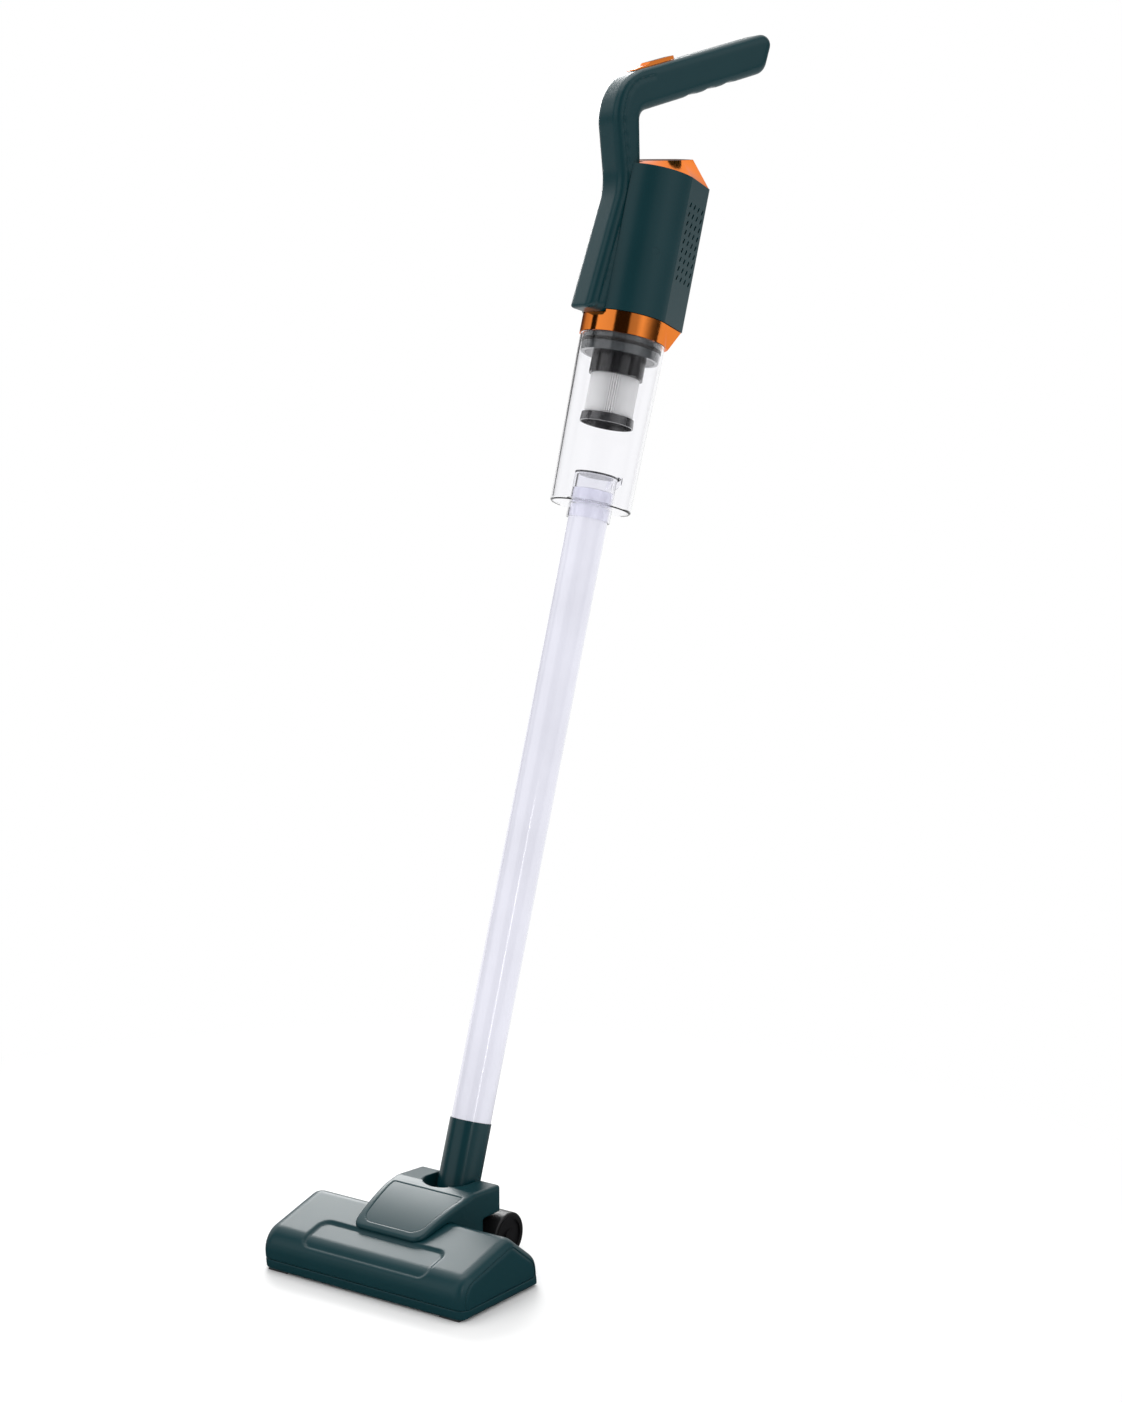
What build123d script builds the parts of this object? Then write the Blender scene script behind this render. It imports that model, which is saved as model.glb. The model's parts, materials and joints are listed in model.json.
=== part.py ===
from build123d import *
import math
import os

os.makedirs("parts", exist_ok=True)

# Upright stick vacuum cleaner, in millimetres.
# X runs across the floor head, the head's front faces -Y, +Z is up and the floor is Z = 0.
# The stick leans back on the head's hinge, and the hand unit is turned a little on the round tube.
# Stick and hand unit pieces are measured from the hinge, along the stick.

SIDES = (("right", 1), ("left", -1))

# Floor head
HEAD_WIDTH = 216.0
HEAD_WALL = 2.6
SOLE_Z = 1.5
BASE_TOP = 10.4
SHELL_BOTTOM = 10.5
FLOOR_TOP = 5.0
FRONT_FOOT = (-55.5, SOLE_Z)
FRONT_SHOULDER = (-59.0, 33.0)
RIDGE = (15.0, 52.5)
REAR_SHOULDER = (50.0, 25.0)
REAR_FOOT = (53.5, SOLE_Z)
BAR_RADII = [20.0, 9.0, 18.0]
BAR_END_ROUND = 4.0
SCOOP_DEPTH = 1.2
SCOOP_WIDTH = 134.0
SCOOP_FRONT = -62.0
SCOOP_REAR = -24.0
SCOOP_LOW = 29.0
SLOT_WIDTH = 156.0
SLOT_FRONT = -37.0
SLOT_REAR = -15.0
BRISTLE_ROWS = (-44.0, -8.5)
BRISTLE_LENGTH = 164.0
BRISTLE_THICKNESS = 3.0
BRISTLE_LOW = 0.4
BRISTLE_TOP = 4.0
SCREW_SPOTS = ((-96, -30), (96, -30), (-96, 22), (96, 22))
SCREW_R = 1.5
SCREW_HEAD_R = 3.0
SCREW_HEAD = 1.8
SCREW_TOP = 16.0
BOSS_R = 4.0
CAP_THICKNESS = 3.0
CAP_RECESS = 0.4
PAD_SPOTS = ((0, 0), (-92, -50), (92, -50), (-92, 44), (92, 44))
PAD_SIZE = (20.0, 7.0)

# Raised housing over the neck hinge
PIVOT_Y = 70.9
PIVOT_Z = 33.9
HOUSING_HALF = 43.0
HOUSING_FRONT_HALF = 36.0
HOUSING_FRONT = -22.0
HOUSING_REAR = 82.0
PLAN_BREAK = 32.0
HOUSING_LIP = 46.0
HOUSING_CROWN = (6.0, 58.0)
DECK_START = 48.0
DECK_Z = 68.5
DECK_REAR_Z = 66.0
HOUSING_WALL = 2.6
HOUSING_ROOF = 4.4
HOUSING_RIM = 3.0
HOUSING_SKIRT = 42.5
SKIRT_START = 58.0
LIP_UNDER = 42.5
PANEL_DEPTH = 2.0
PANEL_SINK = 0.5
PANEL_INSET = 6.5
PANEL_REAR = 37.0
FORK_HALF = 20.6
FORK_FRONT = 43.0
CHEEK = 2.6
CHEEK_LOW = 14.0
PIVOT_R = 4.0
RUNNING = 0.05

# Air duct
DUCT_HALF = 17.0
DUCT_FRONT = 12.0
DUCT_LOW = 15.0
DUCT_HIGH = 42.0
DUCT_WALL = 2.0

# Neck and wheels
DRUM_R = 17.5
DRUM_HALF = 19.0
DRUM_WALL = 3.5
DRUM_BORE_R = 15.0
NECK_R = 18.25
NECK_TOP = 81.8
NECK_BORE_R = 13.5
SPIGOT_TOP = 115.0
WHEEL_Y = 86.0
WHEEL_R = 20.5
RIM_R = 17.5
WHEEL_IN = 28.0
WHEEL_OUT = 50.0
ARM_IN = 23.6
ARM_OUT = 27.2
AXLE_R = 3.0

# Stick
LEAN = 19.0
TWIST = 20.0
TUBE_R = 17.5
TUBE_BORE_R = 16.0
TUBE_TOP = 639.8
SOCKET_LOW = 614.0
SOCKET_STOP = 640.0
CUP_LOW = 625.2
CUP_TOP = 775.7
CUP_R = 37.8
CUP_LOW_R = 35.8
CUP_WALL = 2.0
CUP_STRAIGHT = 757.0
INLET_R = 18.9
INLET_TOP = 653.0
FLAP_LOW = 653.2
FLAP_THICKNESS = 1.6
FLAP_R = 19.0
FLAP_HINGE_N = 21.4
FLAP_HINGE_S = 655.6
FLAP_PIN_R = 0.8
FLAP_BARREL_R = 1.7

# Filter
RING_LOW = 699.5
MEDIA_LOW = 707.3
MEDIA_TOP = 743.0
FILTER_TOP = 760.0
FILTER_FLANGE_TOP = 763.5
FILTER_R = 24.0
MEDIA_R = 21.8
CAGE_R = 17.3
COLLAR_LOW = 760.5
COLLAR_TOP = 790.0
COLLAR_R = 34.9
COLLAR_BORE_R = 31.0
CATCH_R = 26.0
CATCH_HEIGHT = 3.0
SEAL_LOW = 768.5
SEAL_HEIGHT = 3.0
SEAL_R = 35.45

# Hand unit
TRIM_LOW = 776.0
TRIM_TOP = 794.5
TRIM_R = 38.7
TRIM_REAR = (22.5, 35.5, 42.0)
TRIM_STEP = 1.2
CAP_STEP = 0.8
CAP_MID = 941.0
CAP_TILT = 19.0
CAP_SCALE = 0.62
CAP_HOLLOW_SCALE = 0.545
HOUSING_LOW = 795.0
HOUSING_HIGH = 926.0
BODY_R = 40.0
FACET_START = (37.3, 14.4)
FACET_END = (21.0, 47.0)
BODY_BACK = 50.0
BODY_WALL = 2.4
BODY_ROUND = 4.0
VENT_LOW = 833.0
VENT_HIGH = 907.0
VENT_PITCH_N = 8.0
VENT_PITCH_S = 8.2
VENT_COLUMNS = 4
VENT_ROWS = 9
VENT_LENGTH = 5.4
VENT_WIDTH = 2.0
VENT_SLANT = 65.0
PLUG_ANGLE = 75.0
PLUG_S = 852.0
PLUG_R = 3.4
PLUG_DEPTH = 1.2
FOAM = 3.0
LEG_HALF = 16.5
LEG_BACK = -26.0
LEG_LOW = 792.0
HANDLE_WALL = 2.4
HANDLE_ROUND = 7.0
GRIP_RISE = 0.594
GRIP_MID = 1015.3
GRIP_TOP = 1034.7
GRIP_END = 90.0
FINGER_R = 16.0
FINGER_SPOTS = ((21.5, 991.0), (40.5, 1002.6), (59.5, 1014.1))
GROOVE_LINE = ((-43.8, 785), (-34.2, 905), (-54.5, 961), (-54.5, 993), (-30, 1007))
GROOVE_RADII = [60, 40, 26]
GROOVE_WIDTH = 3.0
GROOVE_DEPTH = 3.0
HANDLE_SCREWS = ((-33.5, 803), (-34, 908), (-50, 968), (-38, 990))
HANDLE_SCREW_LENGTH = 26.0
MOTOR_N = 5.0
MOTOR_R = 20.0
MOTOR_LOW = 825.0
MOTOR_HIGH = 884.0
FRAME_LOW = 819.0
FAN_LOW = 797.0
FAN_R = 24.0
FAN_EYE_R = 11.0
FAN_BLADES = 9
FAN_SWEEP = 25.0
SHAFT_R = 2.5
BEARING_R = 6.0
CELL_R = 9.2
CELL_LENGTH = 50.0
CELL_SPOTS = (8.0, 51.2)
SWITCH_MID = -26.7
SWITCH_LENGTH = 44.0
SWITCH_WIDTH = 13.0
SWITCH_TRAVEL = 4.0
STEM_MID = -39.5
STEM_LENGTH = 8.0
STEM_WIDTH = 5.0
SOCKET_SPOT = (-33.5, 950.0)
SOCKET_TURN = math.radians(18.8)
SOCKET_R = 4.0
SOCKET_BORE_R = 2.8
BOARD_LOW = 820.0
BOARD_LENGTH = 74.0
BOARD_N = -35.0

upright = (0, math.sin(math.radians(LEAN)), math.cos(math.radians(LEAN)))
stick = Plane(origin=(0, PIVOT_Y, PIVOT_Z), x_dir=(1, 0, 0), z_dir=upright)
stick_side = Plane(origin=stick.origin, x_dir=stick.y_dir, z_dir=stick.x_dir)
stick_axis = Axis(stick.origin, stick.z_dir)
hand_x = stick.x_dir * math.cos(math.radians(TWIST)) - stick.y_dir * math.sin(math.radians(TWIST))
hand = Plane(origin=stick.origin, x_dir=hand_x, z_dir=stick.z_dir)
hand_axis = Axis(hand.origin, hand.z_dir)
hand_side = Plane(origin=hand.origin, x_dir=hand.y_dir, z_dir=hand.x_dir)
hinge_side = Plane(origin=(0, PIVOT_Y, PIVOT_Z), x_dir=(0, 1, 0), z_dir=(1, 0, 0))


# Outlines that several pieces share

with BuildLine() as bar_line:
    FilletPolyline(FRONT_FOOT, FRONT_SHOULDER, RIDGE, REAR_SHOULDER, REAR_FOOT, radius=BAR_RADII)
    Line(REAR_FOOT, FRONT_FOOT)

with BuildLine() as handle_line:
    FilletPolyline(
        (LEG_BACK, LEG_LOW),
        (-53.5, LEG_LOW),
        (-43.5, 905),
        (-63.5, 962),
        (-63.5, 997),
        (GRIP_END, 1088),
        (GRIP_END - 2.5, 1048),
        (-37.5, 972),
        (LEG_BACK, 928),
        radius=[1.5, 1.5, 60.0, 45.0, 42.0, 9.0, 14.0, 10.0, 30.0],
        close=True,
    )


def roof_line(drop=0.0):
    """Side outline of the raised housing, with its roof lowered by drop."""
    lip = (HOUSING_FRONT, HOUSING_LIP - drop)
    crown = (HOUSING_CROWN[0], HOUSING_CROWN[1] - drop)
    deck = (DECK_START, DECK_Z - drop)
    with BuildLine(Plane.XY) as line:
        ThreePointArc(lip, crown, deck)
        Polyline(deck, (HOUSING_REAR, DECK_REAR_Z - drop), (HOUSING_REAR, 8), (HOUSING_FRONT, 8), lip)
    return line.edges()


def plan_line(inset, front, rear):
    """Plan outline of the raised housing or its panel, narrower at its front."""
    side = HOUSING_HALF - inset
    front_side = HOUSING_FRONT_HALF - inset
    with BuildLine(Plane.XY) as line:
        FilletPolyline(
            (side, rear),
            (side, PLAN_BREAK),
            (front_side, front),
            (-front_side, front),
            (-side, PLAN_BREAK),
            (-side, rear),
            radius=[30.0, 11.0, 11.0, 30.0],
        )
        Line((-side, rear), (side, rear))
    return line.edges()


def body_line(rear_x, rear_n, back):
    """Section of the motor housing: round in front, two flat facets and a gently bowed back."""
    with BuildLine(Plane.XY) as line:
        ThreePointArc((-FACET_START[0], FACET_START[1]), (0, -BODY_R), FACET_START)
        Line(FACET_START, (rear_x, rear_n))
        ThreePointArc((rear_x, rear_n), (0, back), (-rear_x, rear_n))
        Line((-rear_x, rear_n), (-FACET_START[0], FACET_START[1]))
    return line.edges()


def half_ring(low, high, inner, outer):
    """Half section of a ring about the stick, on the stick's side plane."""
    with BuildLine(Plane.XY) as line:
        Polyline((inner, low), (outer, low), (outer, high), (inner, high), close=True)
    return line.edges()


# Floor head

with BuildSketch() as scooped_bar:
    make_face(bar_line.edges())
    offset(amount=-SCOOP_DEPTH, kind=Kind.INTERSECTION)

with BuildPart() as screw_bosses:
    with BuildSketch(Plane.XY.offset(FLOOR_TOP + 0.1)):
        with Locations(*SCREW_SPOTS):
            Circle(BOSS_R)
            Circle(SCREW_R + RUNNING, mode=Mode.SUBTRACT)
    extrude(amount=60)
    with BuildSketch(Plane.YZ):
        make_face(bar_line.edges())
        offset(amount=-HEAD_WALL / 2, kind=Kind.INTERSECTION)
    extrude(amount=HEAD_WIDTH / 2, both=True, mode=Mode.INTERSECT)

with BuildPart() as rounded_bar:
    with BuildSketch(Plane.YZ):
        make_face(bar_line.edges())
    extrude(amount=HEAD_WIDTH / 2, both=True)
    fillet(rounded_bar.faces().filter_by(Axis.X).edges(), BAR_END_ROUND)

with BuildPart() as head_shell:
    add(rounded_bar.part)
    with BuildSketch(Plane.YZ):
        make_face(bar_line.edges())
        offset(amount=-HEAD_WALL, kind=Kind.INTERSECTION)
    extrude(amount=HEAD_WIDTH / 2, both=True, mode=Mode.SUBTRACT)
    with BuildSketch(Plane.YZ):
        make_face(bar_line.edges())
        add(scooped_bar.sketch, mode=Mode.SUBTRACT)
        with Locations(((SCOOP_FRONT + SCOOP_REAR) / 2, SCOOP_LOW + 20)):
            Rectangle(SCOOP_REAR - SCOOP_FRONT, 40, mode=Mode.INTERSECT)
    extrude(amount=SCOOP_WIDTH / 2, both=True, mode=Mode.SUBTRACT)
    with Locations((0, 0, 0)):
        Box(HEAD_WIDTH + 10, 140, 2 * SHELL_BOTTOM, mode=Mode.SUBTRACT)
    with Locations((0, 38, 38)):
        Box(2 * ARM_OUT + 0.6, 60, 56, mode=Mode.SUBTRACT)
    add(screw_bosses.part)
head_shell.part.label = "head_shell"
export_step(head_shell.part, "parts/head_shell.step")

for side, sign in SIDES:
    with BuildPart() as end_cap:
        with BuildSketch(Plane.YZ.offset(sign * (HEAD_WIDTH / 2 - CAP_RECESS))):
            make_face(bar_line.edges())
            offset(amount=-HEAD_WALL - RUNNING, kind=Kind.INTERSECTION)
            with Locations((0, SHELL_BOTTOM / 2)):
                Rectangle(200, SHELL_BOTTOM, mode=Mode.SUBTRACT)
        extrude(amount=-sign * CAP_THICKNESS)
    end_cap.part.label = f"end_cap_{side}"
    export_step(end_cap.part, f"parts/end_cap_{side}.step")

with BuildPart() as head_base:
    add(rounded_bar.part)
    with Locations((0, 0, BASE_TOP / 2)):
        Box(HEAD_WIDTH, 200, BASE_TOP, mode=Mode.INTERSECT)
    with Locations((0, -1.5, FLOOR_TOP + 10)):
        Box(HEAD_WIDTH - 2 * HEAD_WALL, 104, 20, mode=Mode.SUBTRACT)
    with Locations((0, (SLOT_FRONT + SLOT_REAR) / 2, 0)):
        Box(SLOT_WIDTH, SLOT_REAR - SLOT_FRONT, 20, mode=Mode.SUBTRACT)
    with Locations(*[(0, row, SOLE_Z) for row in BRISTLE_ROWS]):
        Box(BRISTLE_LENGTH + 0.2, BRISTLE_THICKNESS + 0.2, 2 * (BRISTLE_TOP - SOLE_Z), mode=Mode.SUBTRACT)
    for side, sign in SIDES:
        with BuildSketch(Plane.YZ.offset(sign * ARM_IN)):
            with BuildLine():
                Polyline((38, SOLE_Z), (62, 4), (86, 11), (94, 15), (94, 26), (86, 29), (76, 27), (50, 14),
                         (38, 10), close=True)
            make_face()
        extrude(amount=sign * (ARM_OUT - ARM_IN))
    with BuildSketch(Plane.YZ):
        with Locations((WHEEL_Y, WHEEL_R)):
            Circle(AXLE_R)
    extrude(amount=HEAD_WIDTH / 2, both=True, mode=Mode.SUBTRACT)
    with Locations(*[(x, y, SOLE_Z) for x, y in SCREW_SPOTS]):
        Cylinder(SCREW_R + 0.2, 20, mode=Mode.SUBTRACT)
        Cylinder(SCREW_HEAD_R + 0.2, 2 * SCREW_HEAD, mode=Mode.SUBTRACT)
head_base.part.label = "head_base"
export_step(head_base.part, "parts/head_base.step")

with BuildPart() as head_screws:
    with Locations(*[(x, y, SOLE_Z) for x, y in SCREW_SPOTS]):
        Cylinder(SCREW_HEAD_R, SCREW_HEAD, align=(Align.CENTER, Align.CENTER, Align.MIN))
        Cylinder(SCREW_R, SCREW_TOP - SOLE_Z, align=(Align.CENTER, Align.CENTER, Align.MIN))
head_screws.part.label = "head_screws"
export_step(head_screws.part, "parts/head_screws.step")

with BuildPart() as bristle_strips:
    with Locations(*[(0, row, BRISTLE_LOW) for row in BRISTLE_ROWS]):
        Box(
            BRISTLE_LENGTH,
            BRISTLE_THICKNESS,
            BRISTLE_TOP - BRISTLE_LOW,
            align=(Align.CENTER, Align.CENTER, Align.MIN),
        )
bristle_strips.part.label = "bristle_strips"
export_step(bristle_strips.part, "parts/bristle_strips.step")

with BuildPart() as sole_pads:
    with Locations(*[(x, y, 0) for x, y in PAD_SPOTS]):
        Box(PAD_SIZE[0], PAD_SIZE[1], SOLE_Z, align=(Align.CENTER, Align.CENTER, Align.MIN))
sole_pads.part.label = "sole_pads"
export_step(sole_pads.part, "parts/sole_pads.step")

# Raised housing: a hollow block on the bar with a fork that is open to the rear

with BuildPart() as housing_hollow:
    with BuildSketch(Plane.YZ):
        make_face(roof_line(HOUSING_ROOF))
    extrude(amount=HOUSING_HALF + 5, both=True)
    with BuildSketch():
        make_face(plan_line(HOUSING_WALL, HOUSING_FRONT + HOUSING_WALL, HOUSING_REAR - HOUSING_WALL))
    extrude(amount=90, mode=Mode.INTERSECT)

with BuildPart() as panel_blank:
    with BuildSketch(Plane.YZ):
        make_face(roof_line(PANEL_SINK))
    extrude(amount=HOUSING_HALF + 5, both=True)
    with BuildSketch(Plane.YZ):
        make_face(roof_line(PANEL_DEPTH))
    extrude(amount=HOUSING_HALF + 5, both=True, mode=Mode.SUBTRACT)

with BuildPart() as fork_gap:
    with BuildSketch(Plane.XY):
        with Locations((0, FORK_FRONT + FORK_HALF)):
            Circle(FORK_HALF)
        with Locations((0, FORK_FRONT + FORK_HALF + 50)):
            Rectangle(2 * FORK_HALF, 100)
    extrude(amount=90)
    with BuildSketch(Plane.XY):
        with Locations((0, FORK_FRONT + 50)):
            Rectangle(2 * FORK_HALF, 100)
    extrude(amount=DECK_Z - 2 * HOUSING_ROOF)

panel_edge = PANEL_INSET + RUNNING

with BuildPart() as panel_insert:
    add(panel_blank.part)
    with BuildSketch():
        make_face(plan_line(panel_edge, HOUSING_FRONT + panel_edge, PANEL_REAR - RUNNING))
    extrude(amount=90, mode=Mode.INTERSECT)
panel_insert.part.label = "panel_insert"
export_step(panel_insert.part, "parts/panel_insert.step")

with BuildPart() as panel_pocket:
    with BuildSketch(Plane.YZ):
        make_face(roof_line(-5))
    extrude(amount=HOUSING_HALF + 5, both=True)
    with BuildSketch(Plane.YZ):
        make_face(roof_line(PANEL_DEPTH))
    extrude(amount=HOUSING_HALF + 5, both=True, mode=Mode.SUBTRACT)
    with BuildSketch():
        make_face(plan_line(PANEL_INSET, HOUSING_FRONT + PANEL_INSET, PANEL_REAR))
    extrude(amount=90, mode=Mode.INTERSECT)

def is_roof_rim(edge):
    """True for the front and side edges of the roof, not its rear edge."""
    return edge.bounding_box().size.Y > 3 or edge.center().Y < 0


with BuildPart() as neck_housing:
    with BuildSketch(Plane.YZ):
        make_face(roof_line())
    extrude(amount=HOUSING_HALF + 5, both=True)
    with BuildSketch():
        make_face(plan_line(0, HOUSING_FRONT, HOUSING_REAR))
    extrude(amount=90, mode=Mode.INTERSECT)
    roof_edges = neck_housing.faces().filter_by(lambda face: face.normal_at().Z > 0.5).edges()
    fillet(roof_edges.filter_by(is_roof_rim), HOUSING_RIM)
    add(housing_hollow.part, mode=Mode.SUBTRACT)
    add(panel_pocket.part, mode=Mode.SUBTRACT)
    with BuildSketch(Plane.YZ):
        with BuildLine():
            Polyline((50, DECK_Z - 2), (50, 24), (60, CHEEK_LOW), (80, CHEEK_LOW), (HOUSING_REAR, 24),
                     (HOUSING_REAR, DECK_REAR_Z - 2), close=True)
        make_face()
    extrude(amount=FORK_HALF + CHEEK, both=True)
    add(fork_gap.part, mode=Mode.SUBTRACT)
    with BuildSketch(Plane.YZ):
        make_face(bar_line.edges())
        with Locations((HOUSING_FRONT, LIP_UNDER - 20)):
            Rectangle(20, 40)
    extrude(amount=HOUSING_HALF + 5, both=True, mode=Mode.SUBTRACT)
    for side, sign in SIDES:
        with Locations((sign * (FORK_HALF + CHEEK + 20), SKIRT_START + 20, HOUSING_SKIRT / 2)):
            Box(40, 40, HOUSING_SKIRT, mode=Mode.SUBTRACT)
    with BuildSketch(hinge_side):
        Circle(PIVOT_R)
    extrude(amount=FORK_HALF + CHEEK + 1, both=True, mode=Mode.SUBTRACT)
neck_housing.part.label = "neck_housing"
export_step(neck_housing.part, "parts/neck_housing.step")

with BuildPart() as neck_pins:
    for side, sign in SIDES:
        with BuildSketch(hinge_side.offset(sign * (DRUM_HALF - DRUM_WALL - 0.5))):
            Circle(PIVOT_R - 0.01)
        extrude(amount=sign * (FORK_HALF + CHEEK - DRUM_HALF + DRUM_WALL + 0.5))
neck_pins.part.label = "neck_pins"
export_step(neck_pins.part, "parts/neck_pins.step")

with BuildPart() as head_duct:
    with Locations((0, (DUCT_FRONT + PIVOT_Y) / 2, (DUCT_LOW + DUCT_HIGH) / 2)):
        Box(2 * DUCT_HALF, PIVOT_Y - DUCT_FRONT, DUCT_HIGH - DUCT_LOW)
        Box(
            2 * (DUCT_HALF - DUCT_WALL),
            PIVOT_Y,
            DUCT_HIGH - DUCT_LOW - 2 * DUCT_WALL,
            mode=Mode.SUBTRACT,
        )
    with BuildSketch(hinge_side):
        Circle(DRUM_R + 0.5)
        with Locations((0, DRUM_R)):
            Rectangle(2 * NECK_R + 1, 2 * DRUM_R)
    extrude(amount=DUCT_HALF + 1, both=True, mode=Mode.SUBTRACT)
head_duct.part.label = "head_duct"
export_step(head_duct.part, "parts/head_duct.step")

# Wheels

with BuildPart() as wheel_axles:
    for side, sign in SIDES:
        with BuildSketch(Plane.YZ.offset(sign * (ARM_IN - 0.4))):
            with Locations((WHEEL_Y, WHEEL_R)):
                Circle(AXLE_R - 0.01)
        extrude(amount=sign * (WHEEL_OUT - ARM_IN - 0.4))
        with BuildSketch(Plane.YZ.offset(sign * (ARM_IN - 1.6))):
            with Locations((WHEEL_Y, WHEEL_R)):
                Circle(AXLE_R + 1)
        extrude(amount=sign * 1.6)
wheel_axles.part.label = "wheel_axles"
export_step(wheel_axles.part, "parts/wheel_axles.step")

for side, sign in SIDES:
    with BuildPart() as wheel:
        with BuildSketch(Plane.YZ.offset(sign * WHEEL_IN)):
            with Locations((WHEEL_Y, WHEEL_R)):
                Circle(RIM_R)
        extrude(amount=sign * (WHEEL_OUT - WHEEL_IN))
        with BuildSketch(Plane.YZ.offset(sign * WHEEL_OUT)):
            with Locations((WHEEL_Y, WHEEL_R)):
                Circle(RIM_R - 2.5)
                Circle(AXLE_R + 2.5, mode=Mode.SUBTRACT)
        extrude(amount=-sign * 1.5, mode=Mode.SUBTRACT)
        with BuildSketch(Plane.YZ.offset(sign * WHEEL_IN)):
            with Locations((WHEEL_Y, WHEEL_R)):
                Circle(AXLE_R + RUNNING)
        extrude(amount=sign * (WHEEL_OUT - WHEEL_IN - 0.6), mode=Mode.SUBTRACT)
    wheel.part.label = f"wheel_{side}"
    export_step(wheel.part, f"parts/wheel_{side}.step")
    with BuildPart() as tyre:
        with BuildSketch(Plane.YZ.offset(sign * (WHEEL_IN + 0.5))):
            with Locations((WHEEL_Y, WHEEL_R)):
                Circle(WHEEL_R)
                Circle(RIM_R, mode=Mode.SUBTRACT)
        extrude(amount=sign * (WHEEL_OUT - WHEEL_IN - 1))
        fillet(tyre.edges().filter_by(GeomType.CIRCLE).group_by(SortBy.RADIUS)[-1], 1.2)
    tyre.part.label = f"tyre_{side}"
    export_step(tyre.part, f"parts/tyre_{side}.step")

# Neck: a hollow drum in the fork with a tube that plugs into the wand

with BuildPart() as neck:
    with BuildSketch(hinge_side):
        Circle(DRUM_R)
    extrude(amount=DRUM_HALF, both=True)
    with BuildSketch(stick):
        Circle(NECK_R)
    extrude(amount=NECK_TOP)
    with BuildSketch(stick.offset(NECK_TOP)):
        Circle(TUBE_BORE_R - RUNNING)
    extrude(amount=SPIGOT_TOP - NECK_TOP)
    with BuildSketch(stick):
        Circle(NECK_BORE_R)
    extrude(amount=SPIGOT_TOP, mode=Mode.SUBTRACT)
    with BuildSketch(hinge_side):
        Circle(DRUM_BORE_R)
    extrude(amount=DRUM_HALF - DRUM_WALL, both=True, mode=Mode.SUBTRACT)
    with Locations((0, PIVOT_Y - DRUM_R, PIVOT_Z)):
        Box(2 * NECK_BORE_R, 2 * DRUM_R, 20, mode=Mode.SUBTRACT)
    with BuildSketch(hinge_side):
        Circle(PIVOT_R + RUNNING)
    extrude(amount=DRUM_HALF + 1, both=True, mode=Mode.SUBTRACT)
neck.part.label = "neck"
export_step(neck.part, "parts/neck.step")

# Wand

with BuildPart() as wand_tube:
    with BuildSketch(stick.offset(NECK_TOP + 0.1)):
        Circle(TUBE_R)
        Circle(TUBE_BORE_R, mode=Mode.SUBTRACT)
    extrude(amount=TUBE_TOP - NECK_TOP - 0.1)
wand_tube.part.label = "wand_tube"
export_step(wand_tube.part, "parts/wand_tube.step")

# Dust cup with its inlet and flap

with BuildPart() as dust_cup:
    with BuildSketch(stick_side):
        with BuildLine():
            Polyline(
                (INLET_R + RUNNING, CUP_LOW),
                (CUP_LOW_R - 1, CUP_LOW),
                (CUP_LOW_R, CUP_LOW + 1),
                (CUP_R, CUP_STRAIGHT),
                (CUP_R, CUP_TOP),
                (CUP_R - CUP_WALL, CUP_TOP),
                (CUP_R - CUP_WALL, CUP_STRAIGHT),
                (CUP_LOW_R - CUP_WALL, CUP_LOW + 2.4),
                (INLET_R + RUNNING, CUP_LOW + 2.4),
                close=True,
            )
        make_face()
    revolve(axis=stick_axis)
dust_cup.part.label = "dust_cup"
export_step(dust_cup.part, "parts/dust_cup.step")

with BuildPart() as inlet_tube:
    with BuildSketch(stick_side):
        with BuildLine():
            Polyline(
                (TUBE_R + RUNNING, SOCKET_LOW),
                (19.4, SOCKET_LOW),
                (19.4, CUP_LOW - 0.1),
                (INLET_R, CUP_LOW - 0.1),
                (INLET_R, INLET_TOP),
                (15.5, INLET_TOP),
                (15.5, SOCKET_STOP),
                (TUBE_R + RUNNING, SOCKET_STOP),
                close=True,
            )
        make_face()
    revolve(axis=stick_axis)
    for side, sign in SIDES:
        with BuildSketch(hand_side.offset(sign * 5)):
            with BuildLine():
                Polyline((18, 645), (24, 651), (24, 657.5), (19, 657.5), (19, INLET_TOP), (18, INLET_TOP), close=True)
            make_face()
        extrude(amount=sign * 1.6)
    with BuildSketch(hand_side):
        with Locations((FLAP_HINGE_N, FLAP_HINGE_S)):
            Circle(FLAP_PIN_R)
    extrude(amount=10, both=True, mode=Mode.SUBTRACT)
inlet_tube.part.label = "inlet_tube"
export_step(inlet_tube.part, "parts/inlet_tube.step")

with BuildPart() as flap_pin:
    with BuildSketch(hand_side):
        with Locations((FLAP_HINGE_N, FLAP_HINGE_S)):
            Circle(FLAP_PIN_R - 0.01)
    extrude(amount=7.2, both=True)
flap_pin.part.label = "flap_pin"
export_step(flap_pin.part, "parts/flap_pin.step")

with BuildPart() as inlet_flap:
    with BuildSketch(hand.offset(FLAP_LOW)):
        Circle(FLAP_R)
        with Locations((0, FLAP_HINGE_N / 2)):
            Rectangle(8, FLAP_HINGE_N)
    extrude(amount=FLAP_THICKNESS)
    with BuildSketch(hand_side):
        with Locations((FLAP_HINGE_N, FLAP_HINGE_S)):
            Circle(FLAP_BARREL_R)
    extrude(amount=4, both=True)
    with BuildSketch(hand_side):
        with Locations((FLAP_HINGE_N, FLAP_HINGE_S)):
            Circle(FLAP_PIN_R + 0.04)
    extrude(amount=10, both=True, mode=Mode.SUBTRACT)
inlet_flap.part.label = "inlet_flap"
export_step(inlet_flap.part, "parts/inlet_flap.step")

# Filter

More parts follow.
